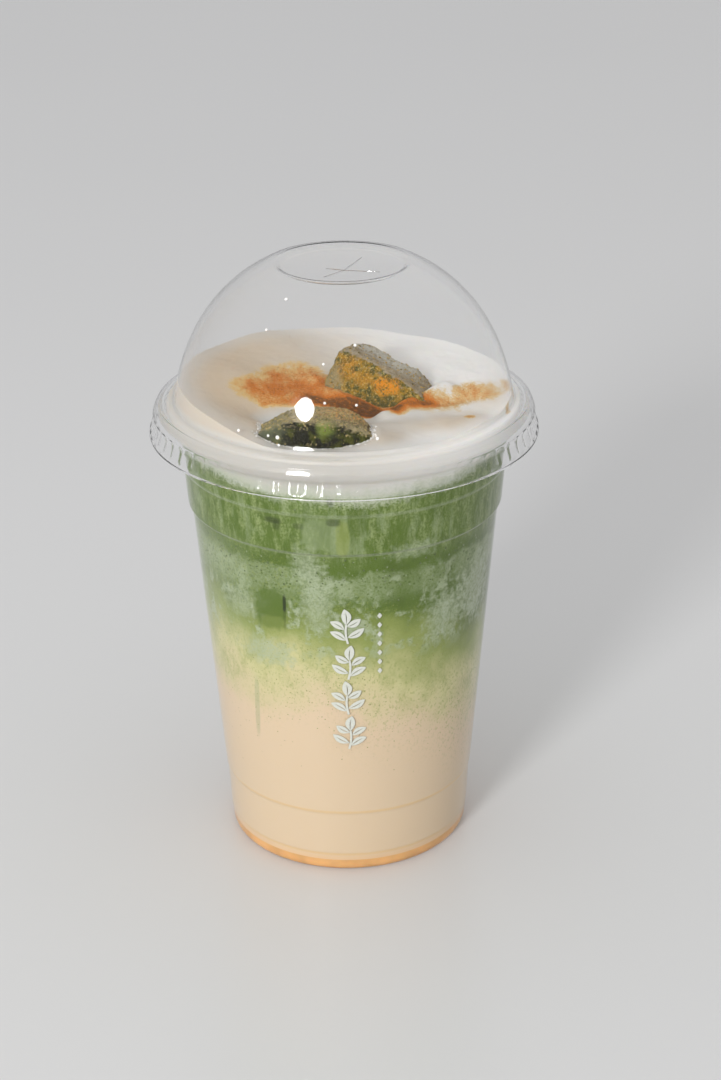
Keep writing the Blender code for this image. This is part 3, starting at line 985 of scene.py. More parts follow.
def foam_material(topping):
    """Thick milk foam with powder stained into it, and the layers' colours at its side."""
    material, tree = soft_material("milk_foam", 0.55, 0.35, 0.4, (1.0, 0.75, 0.5), 0.002)
    place = object_place(tree)
    x, y, z = split(tree, place)
    drift = sway(tree, place, 12.0)
    # Painted shade in cream on the top: on the left and at the right front, fading near the dome's
    # wall
    leftward = ramp(tree, added(tree, drift, 22.0, x), -40.0, 20.0, 1.0, 0.0)
    on_top = ramp(tree, z, 124.6, 126.5)
    radius = combine(tree, "LENGTH", join(tree, x, y, 0.0))
    off_wall = ramp(tree, radius, 33.0, 42.0, 1.0, 0.35)
    inner = ramp(tree, radius, 38.0, 43.0, 1.0, 0.3)
    # Painted light and shade on the top: greyer to the left and front, whiter to the right and back
    backward = calculate(tree, "ADD", x, product(tree, y, 0.6, on_top))
    right_front = added(tree, drift, 22.0, calculate(tree, "SUBTRACT", x, y))
    # Tiny spots in powder colour: painted shade of small holes in the foam
    shaded_pits = speckle(tree, place, 0.6, detail=1.0)
    colour = layered(
        tree, painted_foam_shade(tree, backward, topping),
        (topping.foam_cream_shade, 1.0, leftward, on_top, off_wall),
        (topping.foam_cream_shade, 0.8, ramp(tree, right_front, 30.0, 56.0), on_top, inner),
        (topping.powder, 0.35, ramp(tree, shaded_pits, 0.72, 0.78), on_top))

    cover = add_node(tree, "ShaderNodeAttribute", attribute_name="powder").outputs["Fac"]
    dusted = added(tree, sway(tree, place, 0.4, detail=3.0), 0.9, cover)
    dusted = added(tree, sway(tree, place, 1.5, (1.0, 0.5, 1.0), 3.0), 0.6, dusted)
    dusted = product(tree, dusted, ramp(tree, cover, 0.0, 0.35))
    stain = between_colours(topping.halo, topping.powder)
    # The powder's colours by its cover; the darkest is wet powder, and painted shade in the creases
    # at the cubes
    colour = layered(
        tree, colour,
        (topping.halo, 0.85, ramp(tree, dusted, 0.04, 0.4)),
        (stain, 0.8, ramp(tree, dusted, 0.25, 0.7)),
        (topping.powder, 0.95, ramp(tree, dusted, 0.45, 0.95)),
        (topping.powder_dark_and_shade, 0.9, ramp(tree, dusted, 0.95, 1.5)))
    side = ramp(tree, z, 118.0, 120.5, 1.0, 0.0)
    colour = blend(tree, side, colour, place_group(tree, "drink_layers"))
    return dress(
        material, colour, 1.8, 0.35, 0.05, Roughness=ramp(tree, dusted, 0.1, 0.6, 0.5, 0.85),
        Subsurface_Weight=ramp(tree, dusted, 0.05, 0.4, 0.4, 0.0))


def facing_up(tree, turn, low, high):
    """A mask of the surface that faces the way a turned cube's top does."""
    upward = Euler([math.radians(angle) for angle in turn]).to_matrix() @ Vector((0.0, 0.0, 1.0))
    normal = add_node(tree, "ShaderNodeNewGeometry").outputs["Normal"]
    return ramp(tree, combine(tree, "DOT_PRODUCT", normal, tuple(upward)), low, high)


def back_mochi_material():
    """The larger cube: olive gold, dusted grey brown on top, with orange powder patches."""
    material, tree = soft_material("mochi_gold", 0.8, 0.25, 0.1, (1.0, 0.7, 0.2), 0.0006)
    place = object_place(tree)
    fine = speckle(tree, place, 0.55, detail=3.0)
    mid = speckle(tree, place, 1.6, detail=4.0, shift=6.0)
    gold = from_screen(156, 120, 22)
    olive = from_screen(80, 76, 16)
    dusty = from_screen(166, 152, 128)
    pale = from_screen(190, 172, 104)
    orange = from_screen(216, 138, 14)
    # A pale grey for patches on the top's right: a painted reflection of the lid's haze
    haze_reflection = from_screen(206, 202, 188)
    top = facing_up(tree, BACK_MOCHI_TURN, 0.45, 0.8)
    haze_reflections = [
        patch(tree, centre, (5.0, 5.0, 4.0), 1.0, 0.6)
        for centre in ((8.3, 7.0, 134.0), (14.4, 1.5, 131.6))]
    grey_left = patch(tree, (-3.2, -4.0, 129.6), (2.6, 4.0, 4.2), 1.0, 0.5)
    colour = layered(
        tree, blend(tree, ramp(tree, mid, 0.4, 0.6), full(olive), full(gold)),
        (pale, 0.8, ramp(tree, fine, 0.55, 0.66)),
        (dusty, 0.95, top, ramp(tree, fine, 0.28, 0.55, 0.5, 1.0)),
        (haze_reflection, 0.75, haze_reflections[0], top),
        (haze_reflection, 0.75, haze_reflections[1], top),
        (from_screen(128, 110, 76), 0.5, top, ramp(tree, mid, 0.5, 0.6)),
        (from_screen(146, 136, 104), 0.7, grey_left))
    crumbly = ramp(tree, fine, 0.36, 0.52, 0.25, 1.0)
    for centre, size, strength in (
            ((10.8, -9.0, 129.0), (3.2, 3.0, 1.8), 1.0),
            ((0.8, -4.2, 131.6), (2.2, 3.0, 2.0), 0.3),
            ((1.8, -3.2, 134.0), (3.0, 3.0, 1.2), 0.25),
            ((5.2, -7.0, 130.4), (2.6, 3.0, 1.6), 0.3)):
        spot = patch(tree, centre, size, 1.6, 0.4)
        colour = layered(tree, colour, (orange, strength, spot, crumbly))
    # Darker and more olive towards the base, in the crease where the cube meets the foam: painted
    # shade
    height = added(tree, mid, 4.0, split(tree, place)[2])
    base = ramp(tree, height, 126.8, 129.6, 1.0, 0.0)
    colour = layered(tree, colour, (from_screen(84, 78, 26), 0.8, base))
    return dress(material, colour, 0.9, 0.22, 0.35)


def front_mochi_material():
    """The front cube: dark green, dusted grey green on top, with a fresh green nub."""
    material, tree = soft_material("mochi_green", 0.75, 0.12, 0.1, (0.7, 1.0, 0.3), 0.0006)
    place = object_place(tree)
    fine = speckle(tree, place, 0.5, detail=3.0)
    mid = speckle(tree, place, 2.6, detail=4.0, shift=2.0)
    dark = from_screen(20, 20, 0)
    leaf = from_screen(70, 72, 4)
    dusty = from_screen(172, 156, 118)
    top = facing_up(tree, FRONT_MOCHI_TURN, 0.35, 0.8)
    edge_noise = ramp(tree, mid, 0.3, 0.6, 0.55, 1.0)
    # The left end paler and greyer: a painted reflection of the lid's haze
    left = patch(tree, (-19.5, -31.0, 128.0), (5.0, 8.0, 4.0), 0.8, 0.5)
    dust = patch(tree, (1.5, -30.5, 130.4), (6.5, 4.0, 3.0), 1.2, 0.5)
    nub = patch(tree, (-4.6, -38.4, 128.9), (1.8, 3.0, 1.8), 1.6, 0.7)
    colour = layered(
        tree, blend(tree, ramp(tree, mid, 0.42, 0.64), full(dark), full(leaf)),
        (dusty, 0.12, ramp(tree, fine, 0.58, 0.68)),
        (dusty, 0.95, top, edge_noise, ramp(tree, fine, 0.28, 0.5, 0.55, 1.0)),
        (from_screen(112, 116, 92), 0.6, left),
        (from_screen(208, 152, 76), 0.9, dust, ramp(tree, fine, 0.42, 0.6, 0.1, 1.0)),
        (from_screen(132, 146, 64), 0.75, nub))
    return dress(material, colour, 0.9, 0.22, 0.3)


def grain_material(name, first, second, roughness=0.9, specular=0.2):
    """Loose grains in two colours, each grain a little different."""
    material, tree = new_material(name, Roughness=roughness, Specular_IOR_Level=specular)
    return dress(material, two_tone(tree, 0.9, 0.35, 0.65, first, second))


def ink_material(ink):
    """Opaque white ink, a little uneven as a screen print is."""
    material, tree = new_material("white_ink", Roughness=0.35, Specular_IOR_Level=0.4)
    colour = two_tone(tree, 0.4, 0.45, 0.75, ink, dimmed(ink, 0.9))
    return dress(material, colour, 1.0, 0.2, 0.01)


def floor_material(pale):
    """A plain pale floor with a soft sheen."""
    material, tree = new_material("pale_floor", Roughness=0.3, Specular_IOR_Level=0.5)
    patches = speckle(tree, object_place(tree), 400.0, detail=1.0)
    return dress(material, blend(tree, patches, full(pale), full(dimmed(pale, 0.97))))


def geometry_tree(name, counts, values):
    """A Geometry Nodes tree with a mesh, whole numbers, values and a material as its inputs."""
    inputs = [("Geometry", "Geometry"), ("Material", "Material")]
    inputs += [(label, "Int") for label in counts] + [(label, "Float") for label in values]
    return new_tree(name, "GeometryNodeTree", inputs, "Geometry", "Geometry")


def close_tree(tree, geometry, given, result):
    """End a tree in real geometry with its material."""
    real = add_node(tree, "GeometryNodeRealizeInstances", {0: geometry})
    painted = add_node(tree, "GeometryNodeSetMaterial", {
        "Geometry": real.outputs[0], "Material": given["Material"]})
    feed(tree, result[0], painted.outputs[0])
    return tree


def use_tree(piece, tree, values):
    """Add a tree to a piece as a modifier, set its named inputs and settle the result."""
    modifier = piece.modifiers.new(tree.name, "NODES")
    modifier.node_group = tree
    for item in tree.interface.items_tree:
        if item.in_out == "INPUT" and item.name in values:
            modifier[item.identifier] = values[item.name]
    return settle(piece)


def build_rib_tree():
    """Press grips into a turned skirt: broad pads between narrow grooves, leaning in at the top."""
    tree, given, result = geometry_tree("skirt_ribs", ("Ribs",), ("Depth", "Lean", "Bottom", "Top"))
    x, y, z = split(tree, add_node(tree, "GeometryNodeInputPosition").outputs[0])
    turn = product(tree, calculate(tree, "ARCTAN2", y, x), given["Ribs"])
    swing = calculate(tree, "ARCCOSINE", calculate(tree, "COSINE", turn))
    off_pad = calculate(tree, "DIVIDE", swing, math.pi)
    groove = product(tree, calculate(tree, "POWER", off_pad, 2.2), given["Depth"])
    above = calculate(tree, "SUBTRACT", z, given["Bottom"])
    below = calculate(tree, "SUBTRACT", given["Top"], z)
    share = calculate(tree, "DIVIDE", above, calculate(tree, "ADD", above, below))
    rise = ramp(tree, above, -0.3 * MM, 0.4 * MM)
    fall = ramp(tree, below, -0.3 * MM, 1.5 * MM)
    press = product(tree, added(tree, share, given["Lean"], groove), product(tree, rise, fall))
    outward = combine(tree, "NORMALIZE", join(tree, x, y, 0.0))
    offset = combine(tree, "SCALE", outward, scale=product(tree, press, -1.0))
    moved = add_node(
        tree, "GeometryNodeSetPosition", {"Geometry": given["Geometry"], "Offset": offset})
    return close_tree(tree, moved.outputs[0], given, result)


def build_scatter_tree(name, faces):
    """Scatter round grains on a mesh where its cover is, each of its own size, lying flat."""
    tree, given, result = geometry_tree(
        name, ("Seed",), ("Density", "Smallest", "Largest", "Flatness"))
    cover = add_node(
        tree, "GeometryNodeInputNamedAttribute", {"Name": "cover"}, data_type="FLOAT").outputs[0]
    spots = add_node(tree, "GeometryNodeDistributePointsOnFaces", {
        "Mesh": given["Geometry"], "Density": product(tree, cover, given["Density"]),
        "Seed": given["Seed"]})
    ball = add_node(tree, "GeometryNodeMeshIcoSphere", {"Radius": 1.0, "Subdivisions": faces})
    width = add_node(tree, "FunctionNodeRandomValue", {
        2: given["Smallest"], 3: given["Largest"], "Seed": given["Seed"]}, data_type="FLOAT")
    size = width.outputs[1]
    copies = add_node(tree, "GeometryNodeInstanceOnPoints", {
        "Points": spots.outputs["Points"], "Instance": ball.outputs[0],
        "Rotation": spots.outputs["Rotation"],
        "Scale": join(tree, size, size, product(tree, size, given["Flatness"]))})
    return close_tree(tree, copies.outputs[0], given, result)


def scatter(name, mesh, faces, material, slot, **values):
    """A piece made of grains scattered over a mesh by its cover."""
    piece = add_piece(name, mesh, material)
    tree = build_scatter_tree("scatter_" + name, faces)
    use_tree(piece, tree, {"Material": material, **values}).shade_smooth()
    finish_piece(piece, slot)


def store(mesh, name, values):
    """Keep a value at every point of a mesh."""
    mesh.attributes.new(name, "FLOAT", "POINT").data.foreach_set("value", values)


def stored(mesh, name):
    """The values kept at every point of a mesh."""
    values = [0.0] * len(mesh.vertices)
    mesh.attributes[name].data.foreach_get("value", values)
    return values


class LATTE_OT_stage(bpy.types.Operator):
    """Lay the pale floor and set the light and the camera."""

    bl_idname = "latte.stage"
    bl_label = "Floor, light and camera"

    def execute(self, context):
        stage = context.scene.latte_stage
        floor = bpy.data.meshes.new("floor")
        corners = ((-1.0, -1.0), (1.0, -1.0), (1.0, 1.0), (-1.0, 1.0))
        floor.from_pydata(
            [(FLOOR_HALF * x, FLOOR_HALF * y, 0.0) for x, y in corners], [], [(0, 1, 2, 3)])
        add_piece("floor", floor, floor_material(stage.floor))

        world = bpy.data.worlds.new("soft_surround")
        context.scene.world = world
        world.use_nodes = True
        tree = world.node_tree
        height = split(tree, add_node(tree, "ShaderNodeTexCoord").outputs["Generated"])[2]
        soft = blend(tree, ramp(tree, height, 0.0, 1.0), full(stage.horizon), full(stage.zenith))
        feed(tree, tree.nodes["Background"].inputs["Color"], soft)

        key = bpy.data.lights.new("key", "AREA")
        key.shape = "DISK"
        key.size = stage.key_size
        key.energy = stage.key_power
        lamp = bpy.data.objects.new("key", key)
        context.scene.collection.objects.link(lamp)
        azimuth, elevation = math.radians(KEY_AZIMUTH), math.radians(KEY_ELEVATION)
        towards = Vector((
            math.sin(azimuth) * math.cos(elevation), -math.cos(azimuth) * math.cos(elevation),
            math.sin(elevation)))
        lamp.location = towards * stage.key_distance + Vector(KEY_AIM)
        lamp.rotation_euler = towards.to_track_quat("Z", "Y").to_euler()

        camera = bpy.data.cameras.new("camera")
        camera.lens = stage.lens
        camera.sensor_width = 36.0
        viewer = bpy.data.objects.new("camera", camera)
        context.scene.collection.objects.link(viewer)
        level = Vector((math.cos(CAMERA_YAW), -math.sin(CAMERA_YAW), 0.0))
        ahead = Vector((math.sin(CAMERA_YAW), math.cos(CAMERA_YAW), 0.0))
        forward = ahead * math.cos(CAMERA_PITCH) - Vector((0.0, 0.0, math.sin(CAMERA_PITCH)))
        rise = level.cross(forward)
        right = math.cos(CAMERA_ROLL) * level + math.sin(CAMERA_ROLL) * rise
        up = math.cos(CAMERA_ROLL) * rise - math.sin(CAMERA_ROLL) * level
        turn = Matrix((right, up, -forward)).transposed().to_4x4()
        viewer.matrix_world = Matrix.Translation(CAMERA_PLACE) @ turn
        context.scene.camera = viewer
        context.scene.view_settings.view_transform = "Standard"
        return {"FINISHED"}


class LATTE_OT_cup(bpy.types.Operator):
    """Turn the clear cup."""

    bl_idname = "latte.cup"
    bl_label = "Cup"

    def execute(self, context):
        outer = cup_path()
        inner = inward(outer, CUP_WALL)
        inner[-1] = (0.0, inner[-1][1])
        centre = (RIM_RADIUS - BEAD_RADIUS, RIM_HEIGHT - BEAD_RADIUS)
        bead = arc(centre, BEAD_RADIUS, 180.0, -90.0, 14)
        profile = list(reversed(eased(inner, CUP_EASE))) + bead + eased(outer, CUP_EASE)
        plastic = clear_plastic(
            "cup_plastic", context.scene.latte_cup.tint, shadow=0.93, coarse=9.0, depth=0.012)
        finish_piece(
            add_piece("cup_wall", turned_mesh("cup_wall", profile), plastic), "clear_cup", "cup")
        return {"FINISHED"}


class LATTE_OT_lid(bpy.types.Operator):
    """Turn the domed lid and press the ribs into its skirt."""

    bl_idname = "latte.lid"
    bl_label = "Domed lid"

    def execute(self, context):
        lid = context.scene.latte_lid
        top, dome, shoulder = lid_path()
        outer = eased(top + dome[:1], 0.5, 2)[:-1] + dome + eased(dome[-1:] + shoulder, 0.7, 3)[1:]
        inner = inward(outer, LID_WALL)
        inner[0] = (0.0, inner[0][1])
        plastic = clear_plastic(
            "lid_plastic", lid.tint, shadow=0.93, coarse=7.0, depth=0.012, ior=LID_IOR)
        mesh = turned_mesh("lid_dome", outer + list(reversed(inner)), lid.ribs * 8)
        piece = add_piece("lid_dome", mesh, plastic)
        pressed = use_tree(piece, build_rib_tree(), {
            "Ribs": lid.ribs, "Depth": lid.rib_depth, "Lean": lid.rib_lean, "Material": plastic,
            "Bottom": (SKIRT_BOTTOM + 1.2) * MM, "Top": (SKIRT_TOP_HEIGHT - 0.2) * MM})
        pressed.shade_smooth()
        pressed.set_sharp_from_angle(angle=math.radians(60.0))
        finish_piece(piece, "clear_lid", "dome_lid")
        return {"FINISHED"}


class LATTE_OT_slit(bpy.types.Operator):
    """Lay the closed straw slit's four fine ridges across the recess."""

    bl_idname = "latte.slit"
    bl_label = "Straw slit"

    def execute(self, context):
        shape = bmesh.new()
        centre = Vector(SLIT_CENTRE)
        floor = LID_TOP - RECESS_DEPTH
        for end in SLIT_ENDS:
            line = Vector(end) - centre
            side = Vector((-line.y, line.x)).normalized() * SLIT_HALF_WIDTH
            rows = []
            for step in range(SLIT_STEPS + 1):
                share = step / SLIT_STEPS
                spot = centre + line * share
                dish = RECESS_DISH * (1.0 - (spot.length / RECESS_RADIUS) ** 2)
                low = floor - dish - 0.1
                reach = side * (0.35 + 0.65 * min(1.0, 3.0 * (1.0 - share)))
                rows.append((
                    (spot - reach).to_3d() + Vector((0.0, 0.0, low)),
                    (spot + reach).to_3d() + Vector((0.0, 0.0, low)),
                    spot.to_3d() + Vector((0.0, 0.0, low + SLIT_RISE))))
            tube(shape, rows)
        # The ridges' plastic darker than the lid's: painted shade of the cut's dark lines
        tint = dimmed(context.scene.latte_lid.tint, 0.72)
        material = clear_plastic("slit_plastic", tint, shadow=0.6, coarse=2.0, depth=0.02)
        mesh = mesh_from("straw_slit", shape, outward=True)
        finish_piece(add_piece("straw_slit", mesh, material, 30.0), "clear_lid")
        return {"FINISHED"}


class LATTE_OT_droplets(bpy.types.Operator):
    """Set a few tiny droplets on the dome, white as painted highlights of their glints."""

    bl_idname = "latte.droplets"
    bl_label = "Droplets on the dome"

    def execute(self, context):
        shape = bmesh.new()
        for azimuth, height, radius in DROPLETS:
            turn = math.radians(azimuth)
            around = dome_radius(height)
            slope = (dome_radius(height - 0.05) - dome_radius(height + 0.05)) / 0.1
            normal = Vector((math.sin(turn), -math.cos(turn), slope)).normalized()
            spot = Vector((around * math.sin(turn), -around * math.cos(turn), height))
            made = bmesh.ops.create_icosphere(shape, subdivisions=2, radius=radius * MM)
            tilt = normal.to_track_quat("Z", "Y").to_matrix()
            for vertex in made["verts"]:
                vertex.co.z *= DROPLET_FLATNESS
                vertex.co = tilt @ vertex.co + spot * MM
        mesh = mesh_from("lid_droplets", shape)
        # White as foam: painted highlights of the droplets' glints
        milky = new_material(
            "droplet_milk", Base_Color=full(context.scene.latte_topping.foam), Roughness=0.08,
            Specular_IOR_Level=0.6)[0]
        finish_piece(add_piece("lid_droplets", mesh, milky), "clear_lid")
        return {"FINISHED"}


class LATTE_OT_drink(bpy.types.Operator):
    """Fill the cup with syrup, milk and matcha that reach just into its wall."""

    bl_idname = "latte.drink"
    bl_label = "Drink layers"

    def execute(self, context):
        drink = context.scene.latte_drink
        build_layer_group(drink, context.scene.latte_topping)
        side = drink_side()
        joint = GAP / 2.0
        floor = [point for point in side if point[1] < SYRUP_TOP + joint - 0.05]
        top = SYRUP_TOP + joint
        syrup = [(0.0, top), (radius_at(side, top), top)] + floor
        piece = add_piece("drink_syrup", turned_mesh("drink_syrup", syrup), syrup_material(drink))
        finish_piece(piece, "syrup", "syrup")
        material = drink_material()
        for node, bottom, top in (("milk", SYRUP_TOP, MILK_TOP), ("matcha", MILK_TOP, MATCHA_TOP)):
            wall = between(side, top + joint, bottom + joint)
            profile = [(0.0, top + joint)] + wall + [(0.0, bottom + joint)]
            name = "drink_" + node
            piece = add_piece(name, turned_mesh(name, profile), material)
            finish_piece(piece, node, node)
        return {"FINISHED"}


class LATTE_OT_mochi(bpy.types.Operator):
    """Round the two soft cubes finely over their solids' own shapes."""

    bl_idname = "latte.mochi"
    bl_label = "Mochi cubes"

    def execute(self, context):
        nub = Vector(NUB_CENTRE)
        materials = {"mochi_back": back_mochi_material(), "mochi_front": front_mochi_material()}
        for node, material in materials.items():
            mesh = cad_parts[node].data.copy()
            edit_mesh(mesh, lambda shape: bmesh.ops.remove_doubles(
                shape, verts=shape.verts, dist=0.00001))
            piece = add_piece(node + "_soft", mesh, material)
            even = piece.modifiers.new("even", "REMESH")
            even.mode = "VOXEL"
            even.voxel_size = MOCHI_VOXEL * MM
            mesh = settle(piece)
            normals = [vertex.normal.copy() for vertex in mesh.vertices]
            for vertex, normal in zip(mesh.vertices, normals):
                place = vertex.co / MM
                lift = lumps(place, MOCHI_LUMPS)
                if node == "mochi_front":
                    lift += NUB_RISE * math.exp(-((place - nub).length / NUB_RADIUS) ** 2)
                vertex.co += normal * lift * MM
            mesh.shade_smooth()
            finish_piece(piece, node, node)
        return {"FINISHED"}


class LATTE_OT_foam(bpy.types.Operator):
    """Swell the milk foam up into the dome, with its folds and its powder stain."""

    bl_idname = "latte.foam"
    bl_label = "Milk foam"

    def dome_reach(self, height):
        """Radius just inside the dome's wall at a height."""
        return dome_radius(height) - LID_WALL + 0.2

    def top_rings(self, cubes):
        """Rings of the uneven top from its centre out to the dome."""
        level_reach = self.dome_reach(FOAM_LEVEL)
        rings = []
        for ring in range(FOAM_RINGS + 1):
            points = []
            radius = level_reach * ring / FOAM_RINGS
            for x, y, _ in ring_points(radius, FOAM_LEVEL, FOAM_SEGMENTS):
                height = foam_height(x, y)
                fit = self.dome_reach(height) / level_reach
                place = Vector((x * fit, y * fit, height))
                fade = min(1.0, 8.0 * (1.0 - ring / FOAM_RINGS))
                place.z += lumps(place, FOAM_CRUMPLES) * fade + swell(x, y, *FOAM_FRONT_RISE)
                for cube in cubes:
                    away = cube.find_nearest(place * MM)[3] / MM
                    place.z -= 0.4 * math.exp(-(away / 0.8) ** 2)
                    place.z += 0.1 * math.exp(-((away - 1.8) / 1.0) ** 2)
                points.append(tuple(place))
            rings.append(points)
        return rings

    def side_rings(self, edge):
        """Rings down the dome's foot, under the rim's land and down the cup's flare."""
        rings = []
        low = DOME_FOOT_HEIGHT + 0.2
        for step in range(1, 7):
            ring = []
            for x, y, z in edge:
                height = z + (low - z) * step / 6.0
                turn = math.atan2(y, x)
                reach = self.dome_reach(height)
                ring.append((reach * math.cos(turn), reach * math.sin(turn), height))
            rings.append(ring)
        throat = RIM_RADIUS - 2.0 * BEAD_RADIUS
        under = LAND_HEIGHT - LID_WALL + 0.15
        profile = [
            (self.dome_reach(low), LAND_HEIGHT),
            (self.dome_reach(low) + 0.5, under),
            (throat - 0.4, under),
            (throat + 0.15, under - 0.7),
            (throat + 0.15, RIM_HEIGHT - BEAD_RADIUS),
        ]
        side = drink_side()
        profile += between(side, side[0][1], MATCHA_TOP + GAP / 2.0) + [(0.0, MATCHA_TOP + GAP / 2.0)]
        return rings + [ring_points(radius, height, FOAM_SEGMENTS) for radius, height in profile]

    def execute(self, context):
        graph = context.evaluated_depsgraph_get()
        cubes = [
            BVHTree.FromObject(bpy.data.objects[name], graph)
            for name in ("mochi_back_soft", "mochi_front_soft")]
        top = self.top_rings(cubes)
        mesh = ring_mesh("foam_cap", top + self.side_rings(top[-1]))
        top_height = (FOAM_LEVEL - 4.0) * MM
        powder = []
        contact = []
        for vertex in mesh.vertices:
            on_top = vertex.co.z > top_height
            away = cubes[1].find_nearest(vertex.co)[3] / MM
            powder.append(powder_cover(vertex.co.x / MM, vertex.co.y / MM) if on_top else 0.0)
            contact.append(math.exp(-(away / 0.8) ** 2) * on_top)
        store(mesh, "powder", powder)
        store(mesh, "contact", contact)
        material = foam_material(context.scene.latte_topping)
        finish_piece(add_piece("foam_cap", mesh, material, 60.0), "foam", "foam")
        return {"FINISHED"}


class LATTE_OT_powder(bpy.types.Operator):
    """Scatter loose powder grains on the foam and over the cubes."""

    bl_idname = "latte.powder"
    bl_label = "Powder grains"

    def execute(self, context):
        topping = context.scene.latte_topping
        ground = bpy.data.objects["foam_cap"].data.copy()
        cover = []
        for value, vertex in zip(stored(ground, "powder"), ground.vertices):
            stray = vertex.co.x < 0.0 and value < 0.2 and vertex.co.z > 0.125
            cover.append(max(0.0, value - 0.22) ** 1.5 + 0.004 * stray)
        store(ground, "cover", cover)
        roasted = grain_material("powder_grain", topping.powder, topping.powder_dark_and_shade)
        scatter(
            "foam_powder", ground, 1, roasted, "powder", Density=9.0e6, Seed=4,
            Smallest=0.3 * topping.grain, Largest=topping.grain, Flatness=0.7)

        ground = bpy.data.objects["foam_cap"].data.copy()
        store(ground, "cover", stored(ground, "contact"))
        froth = grain_material("foam_bubble", topping.foam, topping.foam_grey_and_shade, 0.2, 0.5)
        scatter(
            "foam_bubbles", ground, 2, froth, "foam", Density=5.0e6, Seed=9,
            Smallest=0.8 * topping.grain, Largest=2.6 * topping.grain, Flatness=0.8)

        # For each cube: the coat's two colours, its cover on upright sides and how tops differ
        coats = (
            ("mochi_back", from_screen(198, 160, 72), from_screen(108, 94, 42), 0.45, -0.3),
            ("mochi_front", from_screen(190, 168, 112), from_screen(112, 106, 60), 0.0, 0.9),
        )
        for seed, (node, light, dark, level, slope) in enumerate(coats, 20):
            ground = bpy.data.objects[node + "_soft"].data.copy()
            store(ground, "cover", [
                max(0.02, level + slope * vertex.normal.z) * (vertex.co.z > (FOAM_LEVEL - 2.5) * MM)
                for vertex in ground.vertices])
            scatter(
                node + "_dust", ground, 1, grain_material(node + "_coat", light, dark), node,
                Density=3.0e6, Seed=seed, Smallest=0.6 * topping.grain,
                Largest=2.4 * topping.grain, Flatness=0.8)
        return {"FINISHED"}


class LATTE_OT_bubbles(bpy.types.Operator):
    """Press fine bubbles and tea specks against the inside of the wall."""

    bl_idname = "latte.bubbles"
    bl_label = "Bubbles and specks"

    def band(self, name, top, bottom, cover):
        """A strip of the drink's side between two heights, with its cover."""
        heights = [bottom + (top - bottom) * (1.0 - step / 24.0) for step in range(25)]
        side = drink_side()
        mesh = turned_mesh(name, [(radius_at(side, height), height) for height in heights])
        store(mesh, "cover", [cover(*(vertex.co / MM)) for vertex in mesh.vertices])
        return mesh

    def execute(self, context):
        drink = context.scene.latte_drink

        def bubble_cover(x, y, z):
            """Thick in the froth band, thin above and below it."""
            drift = 0.5 + noise.fractal(Vector((0.09 * x, 0.09 * y, 0.15 * z)), 1.0, 2.0, 3)
            return max(0.0, math.exp(-((z - 90.5) / 3.6) ** 2) * (0.35 + drift) + 0.04 * drift)

        def speck_cover(x, y, z):
            """Thinning downwards through the milk, more on the right."""
            drift = 0.5 + noise.fractal(Vector((0.07 * x, 0.07 * y, 0.05 * z)), 1.0, 2.0, 3)
            return max(0.0, math.exp(-((z - 60.0) / 17.0) ** 2) * (0.3 + drift) * (1.0 + 0.02 * x))

        bubble = grain_material(
            "bubble_skin", dimmed(drink.tea, 0.55), dimmed(drink.froth, 0.9), 0.2, 0.5)
        scatter(
            "wall_bubbles", self.band("wall_bubbles", 112.0, 80.0, bubble_cover), 2, bubble, "matcha",
            Density=0.45e6, Seed=7, Smallest=0.08 * MM, Largest=0.3 * MM, Flatness=0.4)
        speck = grain_material("tea_speck", from_screen(128, 122, 68), drink.fresh, 0.6, 0.1)
        scatter(
            "tea_specks", self.band("tea_specks", 82.0, 24.0, speck_cover), 1, speck, "matcha",
            Density=0.4e6, Seed=12, Smallest=0.05 * MM, Largest=0.17 * MM, Flatness=0.25)
        return {"FINISHED"}


